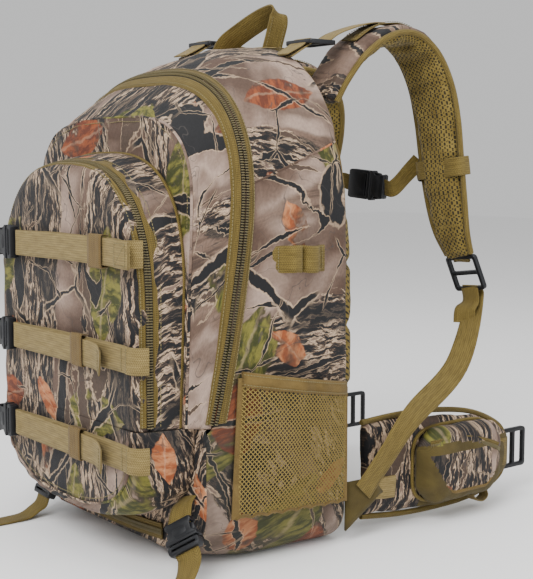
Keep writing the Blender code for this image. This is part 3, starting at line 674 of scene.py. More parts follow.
def lay_out(obj, panel):
    """Store where each vertex lies on the flat cloth, which the weave follows."""
    layer = obj.data.attributes.new("panel", "FLOAT_VECTOR", "POINT")
    layer.data.foreach_set("vector", np.array(panel, np.float32).reshape(-1))
    return obj


def band(name, points, side, width, thick, mat, steps=8, curl=0.0, wave=0.0):
    """Flat webbing along a path: side is its width direction, alone or one for each point."""
    path = eased(points, steps)
    if isinstance(side[0], (tuple, list, np.ndarray, Vector)):
        sides = eased(side, steps)
    else:
        sides = np.repeat([side], len(path), axis=0).astype(float)
    if isinstance(width, (list, tuple)):
        widths = eased([(w,) for w in width], steps)[:, 0]
    else:
        widths = np.full(len(path), width)
    tangent = np.gradient(path, axis=0)
    tangent /= np.linalg.norm(tangent, axis=1, keepdims=True)
    sides = sides - tangent * np.sum(sides * tangent, axis=1, keepdims=True)
    sides /= np.linalg.norm(sides, axis=1, keepdims=True)
    normal = np.cross(tangent, sides)
    run = run_along(path)
    section = [(-1.0, 0.0), (-0.97, -0.8), (-0.6, -1.0), (0.0, -1.0), (0.6, -1.0), (0.97, -0.8),
               (1.0, 0.0), (0.97, 0.8), (0.6, 1.0), (0.0, 1.0), (-0.6, 1.0), (-0.97, 0.8)]
    verts, panel = [], []
    for p, s, n, w, r in zip(path, sides, normal, widths, run):
        for a, b in section:
            bow = curl * (a * a - 0.4) + wave * noise.noise(Vector((r * 60, a * 0.8, p[2] * 9)))
            verts.append(p + s * a * w / 2 + n * (b * thick / 2 + bow))
            panel.append((r, a * w / 2 + (0.02 if b < 0 else 0), 0))
    m = len(section)
    faces = [(i * m + k, i * m + (k + 1) % m, (i + 1) * m + (k + 1) % m, (i + 1) * m + k)
             for i in range(len(path) - 1) for k in range(m)]
    faces += [tuple(range(m))[::-1], tuple((len(path) - 1) * m + k for k in range(m))]
    obj = solid(name, verts, faces, mat, 60)
    return lay_out(obj, panel)


def piping(name, points, radius, mat, sides=8):
    """A round cord along a path; the panel position runs along it."""
    pts = np.array([tuple(p) for p in points], float)
    tangent = np.gradient(pts, axis=0)
    tangent /= np.maximum(np.linalg.norm(tangent, axis=1, keepdims=True), 1e-9)
    run = run_along(pts)
    normal = np.cross(tangent[0], (0.31, 0.5, 0.81))
    verts, panel = [], []
    for p, t, r in zip(pts, tangent, run):
        normal = normal - t * np.dot(normal, t)
        normal /= np.linalg.norm(normal)
        other = np.cross(t, normal)
        for k in range(sides):
            a = 2 * math.pi * k / sides
            verts.append(p + (normal * math.cos(a) + other * math.sin(a)) * radius)
            panel.append((r, a * radius, 0))
    faces = [(i * sides + k, i * sides + (k + 1) % sides, (i + 1) * sides + (k + 1) % sides,
              (i + 1) * sides + k)
             for i in range(len(pts) - 1) for k in range(sides)]
    faces += [tuple(range(sides))[::-1], tuple((len(pts) - 1) * sides + k for k in range(sides))]
    obj = solid(name, verts, faces, mat, 60)
    return lay_out(obj, panel)


def studs(name, places, mat, shape):
    """Many small elongated bumps in one mesh: places are (point, long, wide), shape their half sizes."""
    verts, faces = [], []
    a, b, c = shape
    for p, long, wide in places:
        p, long, wide = (np.array(v, float) for v in (p, long, wide))
        long = long / np.linalg.norm(long)
        wide = wide - long * np.dot(wide, long)
        wide /= np.linalg.norm(wide)
        up = np.cross(long, wide)
        start = len(verts)
        for s, grow in ((-1, 0.35), (-0.6, 1.0), (0.6, 1.0), (1, 0.35)):
            for q, r in ((-1, -1), (1, -1), (1, 1), (-1, 1)):
                verts.append(p + long * a * s + wide * b * grow * q * 0.8 + up * c * grow * r * 0.8)
        for ring in range(3):
            for k in range(4):
                i, j = start + ring * 4 + k, start + ring * 4 + (k + 1) % 4
                faces.append((i, j, j + 4, i + 4))
        faces.append(tuple(start + k for k in (3, 2, 1, 0)))
        faces.append(tuple(start + 12 + k for k in range(4)))
    return solid(name, verts, faces, mat, 75)


def stitches(name, points, outward, pitch=0.0032, mat="thread", size=0.00034):
    """A row of thread stitches along a path; outward is the side of the cloth it shows on."""
    pts = np.array([tuple(p) for p in points], float)
    length = float(np.sum(np.linalg.norm(np.diff(pts, axis=0), axis=1)))
    pts = resample(pts, max(int(length / pitch), 2))
    places = []
    for i in range(len(pts) - 1):
        step = pts[i + 1] - pts[i]
        out = np.array(outward(pts[i]) if callable(outward) else outward, float)
        wide = np.cross(out, step)
        if np.linalg.norm(wide) > 1e-9:
            places.append((pts[i] + step * 0.5, step, wide))
    return studs(name, places, mat, (pitch * 0.38, size * 1.3, size))


def join(name, *objs):
    """One object from several, with their materials and panel positions kept."""
    bm = bmesh.new()
    mats = []
    for obj in objs:
        remap = []
        for mat in obj.data.materials:
            if mat not in mats:
                mats.append(mat)
            remap.append(mats.index(mat))
        before = len(bm.faces)
        bm.from_mesh(obj.data)
        bm.faces.ensure_lookup_table()
        for face in bm.faces[before:]:
            face.material_index = remap[face.material_index]
    mesh = bpy.data.meshes.new(name)
    bm.to_mesh(mesh)
    bm.free()
    for mat in mats:
        mesh.materials.append(mat)
    made = bpy.data.objects.new(name, mesh)
    bpy.context.scene.collection.objects.link(made)
    for obj in objs:
        old = obj.data
        bpy.data.objects.remove(obj)
        bpy.data.meshes.remove(old)
    return made


def show(obj, body, slot, *nodes, fill=None):
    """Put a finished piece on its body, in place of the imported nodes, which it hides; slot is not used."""
    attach(obj, body)
    if nodes:
        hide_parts(*nodes)
    return obj


# ---- main compartment -----------------------------------------------------------------------
AROUND = 420


def seam_line(y):
    """Height of the seam between the side panel and the yoke above it."""
    return 0.362 + (y + 0.010) * 0.36


def net_edge(y):
    return lerp(0.179, 0.157, (y + 0.064) / 0.128)


def sag(p, v, u):
    """Loaded cloth: belly on the flanks, tucks beside the seams, flat where the pads and zip are."""
    middle = math.sin(math.pi * min(max(v, 0), 1))
    fold = crease(p, 17.0, 3.0) * 0.0016 + crease(p, 46.0, 9.0) * 0.0006
    flank = 0.0025 * middle * math.sin(math.pi * min(max(p.z / 0.40, 0), 1))
    tuck = 0.0014 * math.exp(-((p.z - seam_line(p.y)) / 0.010) ** 2)
    floor = min(max((p.z - 0.004) / 0.02, 0.0), 1.0)
    return (flank + fold * (0.25 + middle) - tuck) * floor - 0.0006


shell_rows = between([lay(hull(BACK_EDGE, 0.003, 0.030, AROUND), at(Y_BACK)),
                      lay(hull(BACK_RING, 0.0006, 0.034, AROUND), at(Y_BACK - 0.008)),
                      lay(hull(MID_RING, 0.0006, 0.040, AROUND), at(0.020)),
                      lay(hull(FORE_RING, 0.0008, 0.045, AROUND),
                          lambda z: lerp(0.020, zip_y(max(z, 0.134)), 0.5)),
                      lay(hull(RIM_RING, 0.012, 0.050, AROUND), rim_y)], 12)
shell_rows = swell(shell_rows, sag, away=(0, 0, 0.22))


def shell_panel(centre):
    if centre.z > seam_line(centre.y) and abs(centre.x) > 0.0:
        return 1
    # faces behind the side nets take the camo with painted shade
    return 2 if centre.z < net_edge(centre.y) and abs(centre.x) > 0.10 else 0


show(cloth("shell", shell_rows, ["side", "yoke", "netback_painted_shade"], 0.0012, pick=shell_panel, inside=(0, 0, 0.22)),
     "pack", "main_shell", "main_shell")

inner = []
for k in range(11):
    s = 1.0 - k / 10
    ring = [(x * s * 0.996, Y_BACK + 0.0004 - 0.002 * (1 - s), 0.22 + (z - 0.22) * s * 0.996)
            for x, _, z in shell_rows[0]]
    inner.append(ring)
show(cloth("back_panel", inner, "olive", 0.0008, place=lambda p: (p[0], p[2], 0)), "pack", "frame_sheet",
     "frame_sheet")
show(piping("back_piping", shell_rows[0][6:-6], 0.0022, "binding"), "pack", "main_shell")


def outward_x(p):
    return (math.copysign(1, p[0]), 0, 0.15)


for tag, s in SIDES:
    line = []
    for i, row in enumerate(shell_rows):
        side = row[:AROUND // 2 + 1] if s > 0 else row[AROUND // 2:]
        gap = [abs(p[2] - seam_line(p[1])) + (1.0 if abs(p[0]) < 0.10 else 0.0) for p in side]
        best = side[int(np.argmin(gap))]
        line.append((best[0] + s * 0.0004, best[1], seam_line(best[1])))
    line = eased(line, 2)
    welt = piping("yoke_seam_%s" % tag, line, 0.0011, "yoke", 6)
    show(welt, "pack", "main_shell")
    low = [(x + s * 0.0003, y, z - 0.0042) for x, y, z in line]
    show(stitches("yoke_thread_%s" % tag, low, outward_x), "pack", "main_shell")

# ---- lower front ----------------------------------------------------------------------------
rows = []
for k in range(34):
    z = lerp(0.0125, LOWER_TOP, k / 33)
    w = RIM_RING[0]
    if z < 0.062:
        w = w - 0.050 + math.sqrt(max(0.050 ** 2 - (0.062 - z) ** 2, 0.0))
    rows.append([(x, Y_LOW - 0.0022, z) for x in np.linspace(-w, w, 90)])
rows = swell(np.array(rows), lambda p, v, u: crease(p, 30.0, 5.0) * 0.0009, away=(0, 1, 0.1))
show(cloth("lower_panel", rows, "low", 0.0012, place=lambda p: (p[0], p[2], 0)), "pack", "lower_front")


def cup_path(w, top, low, power, n):
    """A U from the left top, under the floor, to the right top."""
    half = []
    reach = min(0.075, top - low)
    for k in range(61):
        a = math.pi / 2 * k / 60
        half.append((w * math.sin(a) ** (2 / power), low + reach * (1 - math.cos(a) ** (2 / power))))
    half.append((w, top))
    return resample([(-x, z) for x, z in reversed(half)] + half[1:], n)


FOOT = ((Y_LOW - 0.003, 0.138, 0.042), (-0.120, 0.137, 0.040), (Y_POCKET, 0.132, 0.042),
        (Y_FACE + 0.004, 0.129, 0.046), (Y_FACE, 0.121, 0.053))
stations = [lay(cup_path(w, LOWER_TOP, low, 2.7, 200), at(y)) for y, w, low in FOOT]
rows = between(stations, 8)


def foot_fold(p, v, u):
    gather = math.sin(u * 95) * 0.0005 * max(0.0, 1 - abs(v - 0.8) * 4)
    return crease(p, 34.0, 2.0) * 0.0010 + gather


rows = swell(rows, foot_fold, away=(0, -0.11, 0.11))
foot_wall = cloth("pocket_foot_wall", rows, "boot", 0.0012)
last = rows[-1]
face_rows = []
for k in range(16):
    s = 1.0 - k / 15
    face_rows.append([(x * s, Y_FACE - 0.0006 * (1 - s), LOWER_TOP - (LOWER_TOP - z) * s)
                      for x, _, z in last])
foot_face = cloth("pocket_foot_face", np.array(face_rows), "face", 0.0012, place=lambda p: (p[0], p[2], 0))
show(join("pocket_foot", foot_wall, foot_face), "pack", "lower_front", "lower_front")
edge = [(x, y - 0.0006, z + 0.0004) for x, y, z in last[8:-8]]
show(piping("pocket_foot_seam", edge, 0.0013, "boot", 6), "pack", "lower_front")
inset_edge = [(x * 0.965, Y_FACE - 0.0008, z + 0.0045 * (1 if z < 0.12 else 0)) for x, _, z in last[10:-10]]
show(stitches("pocket_foot_thread", inset_edge, (0, -1, 0)), "pack", "lower_front")

# ---- main lid and pocket --------------------------------------------------------------------
GUSSET = ((LID_BACK, lambda z: zip_y(z) - 0.0008), (LID_MID, mid_y), (LID_RING, lid_y))
rows = between([lay(arch(ring, LID_FOOT, 300), y_of) for ring, y_of in GUSSET], 14)
rows = swell(rows, lambda p, v, u: crease(p, 24.0, 6.0) * 0.0013 * (0.3 + v) - 0.0004, away=(0, 0.0, 0.24))
show(cloth("gusset", rows, "gusset", 0.0012, inside=(0, -0.08, 0.24)), "main_lid", "lid_gusset",
     "lid_gusset")
rim = rows[-1]
panel_rows = []
for k in range(19):
    s = 1.0 - k / 18
    panel_rows.append([(x * s, lid_y(LID_FOOT + (z - LID_FOOT) * s) - 0.0012, LID_FOOT + (z - LID_FOOT) * s)
                       for x, _, z in rim])
panel_rows = swell(np.array(panel_rows), lambda p, v, u: crease(p, 26.0, 1.0) * 0.0010 * (1 - v),
                   away=(0, 0.2, 0.24))
show(cloth("panel", panel_rows, "panel", 0.0012, place=lambda p: (p[0], p[2], 0), inside=(0, 0, 0.24)),
     "main_lid", "lid_panel", "lid_panel")
show(piping("panel_seam", rim + np.array((0, -0.0008, 0.0002)), 0.0014, "gusset", 6), "main_lid",
     "lid_panel")
tight = [(x * 0.968, lid_y(z) - 0.0022, LID_FOOT + (z - LID_FOOT) * 0.985) for x, _, z in rim]
show(stitches("panel_thread", tight[3:-3], (0, -1, 0)), "main_lid", "lid_panel")

PKT_WALL = ((PKT_BASE, lambda z: lid_y(z) - 0.0033), (PKT_ZIP, at(Y_POCKET)))
stations = [lay(arch(tuple(lerp(a, b, t) for a, b in zip(PKT_BASE, PKT_ZIP)), LID_FOOT, 260),
                lambda z, t=t: lerp(lid_y(z) - 0.0033, Y_POCKET, t)) for t in (0.0, 0.33, 0.66, 1.0)]
rows = between(stations, 5)
rows = swell(rows, lambda p, v, u: (crease(p, 34.0, 7.0) * 0.0016 + 0.0012) * math.sin(math.pi * v),
             away=(0, -0.12, 0.22))
show(cloth("pocket_side", rows, "pgusset", 0.0012, inside=(0, -0.12, 0.22)), "main_lid", "pocket_gusset",
     "pocket_gusset")
show(piping("pocket_base_seam", rows[0] + np.array((0, -0.0004, 0.0006)), 0.0016, "tape", 6), "main_lid",
     "pocket_gusset")

stations = [lay(arch(PKT_ZIP, LID_FOOT, 260), at(Y_POCKET - 0.0006)),
            lay(arch(FACE_MID, LID_FOOT, 260), at(Y_FACE + 0.004)),
            lay(arch(PKT_FACE, LID_FOOT, 260), at(Y_FACE))]
wall_rows = between(stations, 6)
face_rows = []
for k in range(1, 30):
    s = 1.0 - k / 29
    face_rows.append([(x * s, Y_FACE - 0.0010 * (1 - s), LID_FOOT + (z - LID_FOOT) * s)
                      for x, _, z in wall_rows[-1]])
rows = np.concatenate([wall_rows, np.array(face_rows)])


def pull_lines(p, v, u):
    """The straps draw the face in and leave long shallow folds beside them."""
    near = min(abs(p.z - z) for z in STRAP_Z)
    tuck = -0.0010 * math.exp(-(near / 0.012) ** 2)
    slack = noise.noise(Vector((p.x * 11, 0.5, p.z * 46)))
    fold = slack * 0.0022 * math.exp(-((near - 0.022) / 0.018) ** 2)
    return tuck + fold + crease(p, 30.0, 4.0) * 0.0009


rows = swell(rows, pull_lines, away=(0, -0.05, 0.22))
show(cloth("pocket_front", rows, "face", 0.0012, lambda p: (p[0], p[2] + (p[1] - Y_FACE), 0),
           inside=(0, -0.10, 0.24)),
     "pocket_lid", "pocket_face", "pocket_face")


# ---- zips -----------------------------------------------------------------------------------
def on_wall(wall, t, n, foot, proud):
    """A line at the share t across a wall, lifted off it by proud."""
    pick = min(int(t * (len(wall) - 1)), len(wall) - 2)
    local = t * (len(wall) - 1) - pick
    rows = []
    for s in (local - 0.02, local, local + 0.02):
        (ra, ya), (rb, yb) = wall[pick], wall[pick + 1]
        outline = arch(tuple(lerp(a, b, s) for a, b in zip(ra, rb)), foot, n)
        rows.append([(x, lerp(ya(z), yb(z), s), z) for x, z in outline])
    rows = np.array(rows)
    normals = row_normals(rows)[1]
    flip = np.sign(np.sum(normals * (rows[1] - np.array((0, 0, 0.24))), axis=1, keepdims=True))
    return rows[1] + normals * flip * proud, normals * flip


def zip_side(name, wall, outer, hem, coil, body, slot, node, foot=0.139):
    """One side of a zip: the tape with its sewn edge, and the coil along its other edge."""
    lines = [on_wall(wall, t, ZIP_POINTS, foot, h)[0] for t, h in
             ((outer, 0.0002), (lerp(outer, hem, 0.12), 0.0013), (lerp(outer, hem, 0.9), 0.0014),
              (hem, 0.0016))]
    tape = cloth(name + "_tape", np.array(lines), "tape", 0.0007)
    show(tape, body, slot, node)
    under = [on_wall(wall, lerp(hem, coil, t), ZIP_POINTS, foot, 0.0010)[0] for t in (-0.2, 0.6, 1.5)]
    show(cloth(name + "_shade", np.array(under), "lining", 0.0004), body, slot)
    seat, normals = on_wall(wall, coil, ZIP_POINTS, foot, 0.0021)
    length = float(np.sum(np.linalg.norm(np.diff(seat, axis=0), axis=1)))
    count = int(length / COIL_PITCH)
    fine, face = resample(seat, count), resample(normals, count)
    places = []
    for i in range(count):
        step = fine[i + 1] - fine[i]
        places.append((fine[i], np.cross(step, face[i]), step))
    show(studs(name + "_coil", places, "coil", (0.0019, 0.00062, 0.0009)), body, slot)
    sewn = on_wall(wall, lerp(outer, hem, 0.22), ZIP_POINTS, foot, 0.0021)
    show(stitches(name + "_thread", sewn[0], lambda p: (p[0], -0.05, p[2] - 0.24)), body, slot)


REAR_WALL = ((FORE_RING, lambda z: lerp(0.020, zip_y(z), 0.5)), (RIM_RING, lambda z: zip_y(z) + 0.0008))
LID_WALL = ((LID_BACK, lambda z: zip_y(z) - 0.0008), (LID_MID, mid_y))
FACE_WALL = ((PKT_ZIP, at(Y_POCKET - 0.0003)), (FACE_MID, at(Y_FACE + 0.004)))
zip_side("main_rear", REAR_WALL, 0.74, 0.93, 0.975, "pack", "main_zip_rear", "main_zip_rear")
zip_side("main_front", LID_WALL, 0.60, 0.16, 0.07, "main_lid", "main_zip_lid", "main_zip_lid")
zip_side("pocket_rear", PKT_WALL, 0.62, 0.90, 0.965, "main_lid", "pocket_zip_lid", "pocket_zip_lid")
zip_side("pocket_fore", FACE_WALL, 0.98, 0.36, 0.12, "pocket_lid", "pocket_zip_face", "pocket_zip_face")


# ---- moulded buckles ------------------------------------------------------------------------
def basis(origin, long, wide):
    """A frame: +X along a buckle, +Y across it, +Z out of its face."""
    x = Vector(long).normalized()
    y = Vector(wide)
    y = (y - x * y.dot(x)).normalized()
    turn = Matrix((x, y, x.cross(y))).transposed().to_4x4()
    return Matrix.Translation(Vector(origin)) @ turn


def slab(name, outline, low, high, mat="plastic", round_to=0.0007, holes=()):
    """A flat moulding cut to an outline, with rounded edges and holes through it."""
    bm = bmesh.new()
    base = bm.faces.new([bm.verts.new((x, y, low)) for x, y in outline])
    made = bmesh.ops.extrude_face_region(bm, geom=[base])
    bmesh.ops.translate(bm, verts=[v for v in made["geom"] if isinstance(v, bmesh.types.BMVert)],
                        vec=(0, 0, high - low))
    bmesh.ops.recalc_face_normals(bm, faces=bm.faces)
    mesh = bpy.data.meshes.new(name)
    bm.to_mesh(mesh)
    bm.free()
    mesh.materials.append(MATS[mat])
    obj = bpy.data.objects.new(name, mesh)
    bpy.context.scene.collection.objects.link(obj)
    for hole in holes:
        cutter = slab(name + "_cut", hole, low - 0.01, high + 0.01, mat, 0.0)
        cut = obj.modifiers.new("cut", "BOOLEAN")
        cut.operation, cut.solver, cut.object = "DIFFERENCE", "EXACT", cutter
        bake(obj)
        bpy.data.objects.remove(cutter)
    if round_to:
        soft = obj.modifiers.new("soft", "BEVEL")
        soft.width, soft.segments = round_to, 2
        soft.limit_method, soft.angle_limit = "ANGLE", math.radians(40)
        bake(obj)
        obj.data.shade_smooth()
        obj.data.set_sharp_from_angle(angle=math.radians(50))
    return obj


def oblong(ax, ay, bx, by, corner, steps=4):
    """A rectangle between two corners with rounded corners."""
    out = []
    for cx, cy, start in ((bx - corner, by - corner, 0), (ax + corner, by - corner, 90),
                          (ax + corner, ay + corner, 180), (bx - corner, ay + corner, 270)):
        for k in range(steps + 1):
            a = math.radians(start + 90 * k / steps)
            out.append((cx + corner * math.cos(a), cy + corner * math.sin(a)))
    return out


def put(obj, frame_of):
    obj.data.transform(frame_of)
    return obj


def socket_buckle(name, seat, long, wide):
    """The female half: two plates with a waist, open windows at the sides and a web bar."""
    shell = []
    waist = [(0.0192, -0.0160), (0.0150, -0.0158), (0.0120, -0.0118), (0.0060, -0.0118), (0.0040, -0.0140),
             (0.0010, -0.0134), (0.0, -0.0120), (0.0, 0.0120), (0.0010, 0.0134), (0.0040, 0.0140),
             (0.0060, 0.0118), (0.0120, 0.0118), (0.0150, 0.0158), (0.0192, 0.0160)]
    for low, high in ((0.0030, 0.0049), (-0.0049, -0.0030)):
        shell.append(slab(name + "_plate", waist, low, high))
    shell.append(slab(name + "_mouth", oblong(0.0158, -0.0166, 0.0192, 0.0166, 0.0008), 0.0026, 0.0052))
    shell.append(slab(name + "_lip", oblong(0.0158, -0.0166, 0.0192, 0.0166, 0.0008), -0.0052, -0.0026))
    for s in (-1, 1):
        a, b = sorted((s * 0.0138, s * 0.0166))
        shell.append(slab(name + "_rail", oblong(0.0150, a, 0.0192, b, 0.0006), -0.0046, 0.0046))
        shell.append(slab(name + "_root",
                          oblong(0.0002, min(s * 0.0090, s * 0.0134), 0.0046, max(s * 0.0090, s * 0.0134),
                                 0.0006),
                          -0.0042, 0.0042))
    shell.append(slab(name + "_bar", oblong(0.0, -0.0125, 0.0028, 0.0125, 0.0007), -0.0020, 0.0036))
    shell.append(slab(name + "_rib", oblong(0.0070, -0.0070, 0.0142, 0.0070, 0.0020), 0.0047, 0.0052))
    return put(join(name, *shell), basis(seat, long, wide))


def tongue_buckle(name, seat, long, wide, reach=0.0290):
    """The male half: a centre guide, two sprung prongs that fill the windows, and a laddered body."""
    parts = [slab(name + "_guide", oblong(0.0075, -0.0030, 0.0200, 0.0030, 0.0010), -0.0016, 0.0016)]
    for s in (-1, 1):
        prong = [(0.0199, s * 0.0098), (0.0199, s * 0.0122), (0.0150, s * 0.0126), (0.0125, s * 0.0150),
                 (0.0075, s * 0.0146), (0.0062, s * 0.0118), (0.0080, s * 0.0096), (0.0140, s * 0.0092)]
        parts.append(slab(name + "_prong", prong, -0.0023, 0.0023))
    body = [(0.0203, -0.0150), (0.0218, -0.0162), (reach - 0.003, -0.0162), (reach, -0.0148),
            (reach, 0.0148), (reach - 0.003, 0.0162), (0.0218, 0.0162), (0.0203, 0.0150)]
    parts.append(slab(name + "_body", body, -0.0044, 0.0044,
                      holes=(oblong(0.0232, -0.0128, 0.0250, 0.0128, 0.0004),)))
    parts.append(slab(name + "_grip", oblong(reach - 0.0030, -0.0120, reach - 0.0012, 0.0120, 0.0006),
                      0.0040, 0.0047))
    parts.append(slab(name + "_nose", oblong(0.0203, -0.0110, 0.0222, 0.0110, 0.0006), 0.0040, 0.0047))
    return put(join(name, *parts), basis(seat, long, wide))


def ladder(name, centre, long, wide, length, width, thick=0.0046, rail=0.0050):
    """A ladder lock: a rounded frame with two openings, and a middle bar with a tooth along it."""
    a, b = length / 2, width / 2
    ring = slab(name + "_ring", oblong(-a - rail + 0.0006, -b - rail + 0.0006, a + rail - 0.0006,
                                       b + rail - 0.0006, 0.0042),
                -thick / 2, thick / 2, holes=(oblong(-a, -b, -0.0022, b, 0.0012),
                                              oblong(0.0020, -b, a, b, 0.0012)))
    tooth = slab(name + "_tooth", oblong(0.0000, -b + 0.001, 0.0016, b - 0.001, 0.0004), thick / 2 - 0.0006,
                 thick / 2)
    return put(join(name, ring, tooth), basis(centre, long, wide))


Y_BUCKLE = Y_FACE - 0.0050
for k, (z, reach) in enumerate(zip(STRAP_Z, FACE_EDGE), 1):
    mouth = -reach + 0.0070
    seat = (mouth, Y_BUCKLE - 0.0056, z)
    body = "pack" if k == 3 else "pocket_lid"
    show(socket_buckle("rifle_socket_%d" % k, seat, (1, 0, 0), (0, 0, 1)), body, "rifle_female_%d" % k,
         "rifle_female_%d" % k)
    show(tongue_buckle("rifle_tongue_%d" % k, seat, (1, 0, 0), (0, 0, 1)), "rifle_male_%d" % k,
         "rifle_male_%d" % k, "rifle_male_%d" % k)

# ---- rifle straps ---------------------------------------------------------------------------
for k, (z, reach) in enumerate(zip(STRAP_Z, FACE_EDGE), 1):
    y = Y_BUCKLE
    bar = -reach + 0.0370
    body = "pack" if k == 3 else "pocket_lid"
    node = "rifle_strap_%d" % k
    main = [(reach + 0.0188, y + 0.0125, z - 0.001), (reach + 0.0163, y + 0.0046, z - 0.001),
            (reach + 0.0070, y - 0.0004, z - 0.001), (reach - 0.006, y - 0.0006, z),
            (0.05, y - 0.0012, z + 0.0005),
            (0.0, y - 0.0016, z + 0.001), (bar + 0.020, y - 0.0018, z), (bar + 0.006, y - 0.0024, z),
            (bar + 0.0016, y - 0.0044, z), (bar + 0.006, y - 0.0064, z)]
    if k == 1:
        main += [(bar + 0.022, y - 0.0056, z), (0.040, y - 0.0050, z + 0.0005), (0.105, y - 0.0046, z),
                 (0.122, y - 0.0052, z - 0.0010), (0.137, y - 0.0048, z - 0.0015)]
    else:
        main += [(bar + 0.022, y - 0.0052, z - 0.0005), (0.010, y - 0.0048, z - 0.0010),
                 (0.060, y - 0.0046, z - 0.0015),
                 (0.082, y - 0.0064, z - 0.0025), (0.096, y - 0.0112, z - 0.0060)]
    web = band("strap_%d" % k, main, (0, 0, 1), WEB - 0.0006, 0.0015, "khaki", 8, 0.0002, 0.0004)
    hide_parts(node)
    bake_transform(web, body, "rifle_male_%d" % k, start=(bar + 0.110, y, z), end=(bar + 0.012, y, z))
    hold_at = KEEPER_X[k - 1]
    room = [(hold_at, y + 0.0008, z - 0.0135), (hold_at, y - 0.0030, z - 0.0142),
            (hold_at, y - 0.0066, z - 0.0134),
            (hold_at, y - 0.0070, z), (hold_at, y - 0.0066, z + 0.0134), (hold_at, y - 0.0030, z + 0.0142),
            (hold_at, y + 0.0008, z + 0.0135)]
    show(band("keeper_%d" % k, room, (1, 0, 0), KEEPER_WIDTH[k - 1], 0.0011, "elastic", 6), body, node)
    stub = [(-reach + 0.0090, y - 0.0050, z), (-reach + 0.0066, y - 0.0064, z),
            (-reach + 0.0050, y - 0.0040, z),
            (-reach + 0.0010, y + 0.0010, z), (-reach - 0.0060, y + 0.0065, z),
            (-reach - 0.0110, y + 0.0140, z)]
    show(band("stub_%d" % k, stub, (0, 0, 1), WEB - 0.0010, 0.0016, "khaki", 5), body, node)
    for x in (reach - 0.004, reach + 0.004):
        line = [(x, y - 0.0018, z + h) for h in np.linspace(-0.011, 0.010, 5)]
        show(stitches("strap_sewn_%d_%d" % (k, int(x * 1e4)), line, (0, -1, 0), 0.0026), body, node)
    if k == 1:
        ends = [(0.1345, y - 0.0062, z + h - 0.0015) for h in np.linspace(-0.010, 0.010, 5)]
        box = [(x, y - 0.0062, z + h) for x, h in ((0.116, -0.0105), (0.116, 0.0085), (0.1335, 0.0085),
                                                   (0.1335, -0.0105), (0.116, -0.0105), (0.1335, 0.0085))]
        flap = [(0.1145, y - 0.0062, z - 0.0006), (0.125, y - 0.0066, z - 0.0010),
                (0.1368, y - 0.0061, z - 0.0014)]
        show(band("strap_fold_1", flap, (0, 0, 1), WEB - 0.001, 0.0014, "khaki", 4), body, node)
        for a, b in zip(box, box[1:]):
            row = [(a[0], a[1] - 0.0011, a[2]), (b[0], b[1] - 0.0011, b[2])]
            show(stitches("strap_box_%d_%d" % (int(a[0] * 1e4), int((a[2] - b[2]) * 1e4)), row, (0, -1, 0),
                          0.0024), body, node)
    else:
        line = [(0.0900, y - 0.0104, z + h - 0.0045) for h in np.linspace(-0.010, 0.010, 5)]
        show(stitches("tail_sewn_%d" % k, line, (0.3, -1, 0), 0.0026), body, node)


# ---- side pockets ---------------------------------------------------------------------------
def net_at(u, v, s, lift=0.0):
    y = lerp(lerp(-0.068, -0.060, v), 0.064, u)
    bulge = max(math.sin(math.pi * u), 0.0) ** 0.6 * (0.25 + 0.75 * math.sin(math.pi * v / 2 + 0.12))
    x = 0.1585 + 0.0165 * bulge * (0.35 + 0.65 * v ** 0.5)
    z = lerp(lerp(0.050, 0.044, u), lerp(0.178, 0.156, u), v)
    slack = noise.noise(Vector((y * 34 + z * 12, z * 9, 3.0 + s)))
    fold = slack * 0.0030 * math.sin(math.pi * u) * (0.3 + 0.7 * v)
    pleat = math.sin(u * 30 + 2.0 * math.sin(v * 3)) * 0.0009 * math.sin(math.pi * u) * v
    return np.array((s * (x + fold + pleat + lift), y, z))


def net_cloth(name, s):
    """Knotted net: two sets of slanting yarns that cross, with open cells between."""
    verts, faces = [], []
    cells_u, cells_v = NET_CELLS
    sub = 5
    for lean in (-1, 1):
        for start in range(-cells_v, cells_u + cells_v + 1):
            line = []
            for q in range(cells_v * sub + 1):
                b = q / sub
                a = start + lean * b
                if 0 <= a <= cells_u:
                    weave = 0.00022 * math.cos(math.pi * b) * lean
                    line.append((a / cells_u, b / cells_v, weave))
            if len(line) < 3:
                continue
            pts = [net_at(u, v, s, w) for u, v, w in line]
            run = np.gradient(np.array(pts), axis=0)
            run /= np.maximum(np.linalg.norm(run, axis=1, keepdims=True), 1e-9)
            first = len(verts)
            for p, t in zip(pts, run):
                out = np.array((s, 0, 0)) - t * t[0] * s
                out /= np.linalg.norm(out)
                across = np.cross(t, out)
                for g, h in ((-1, 0), (0, -0.8), (1, 0), (0, 0.8)):
                    verts.append(p + across * g * 0.00050 + out * h * 0.00040)
            for i in range(len(pts) - 1):
                for q in range(4):
                    a, b = first + i * 4 + q, first + i * 4 + (q + 1) % 4
                    faces.append((a, b, b + 4, a + 4))
    return solid(name, verts, faces, "net", 80)


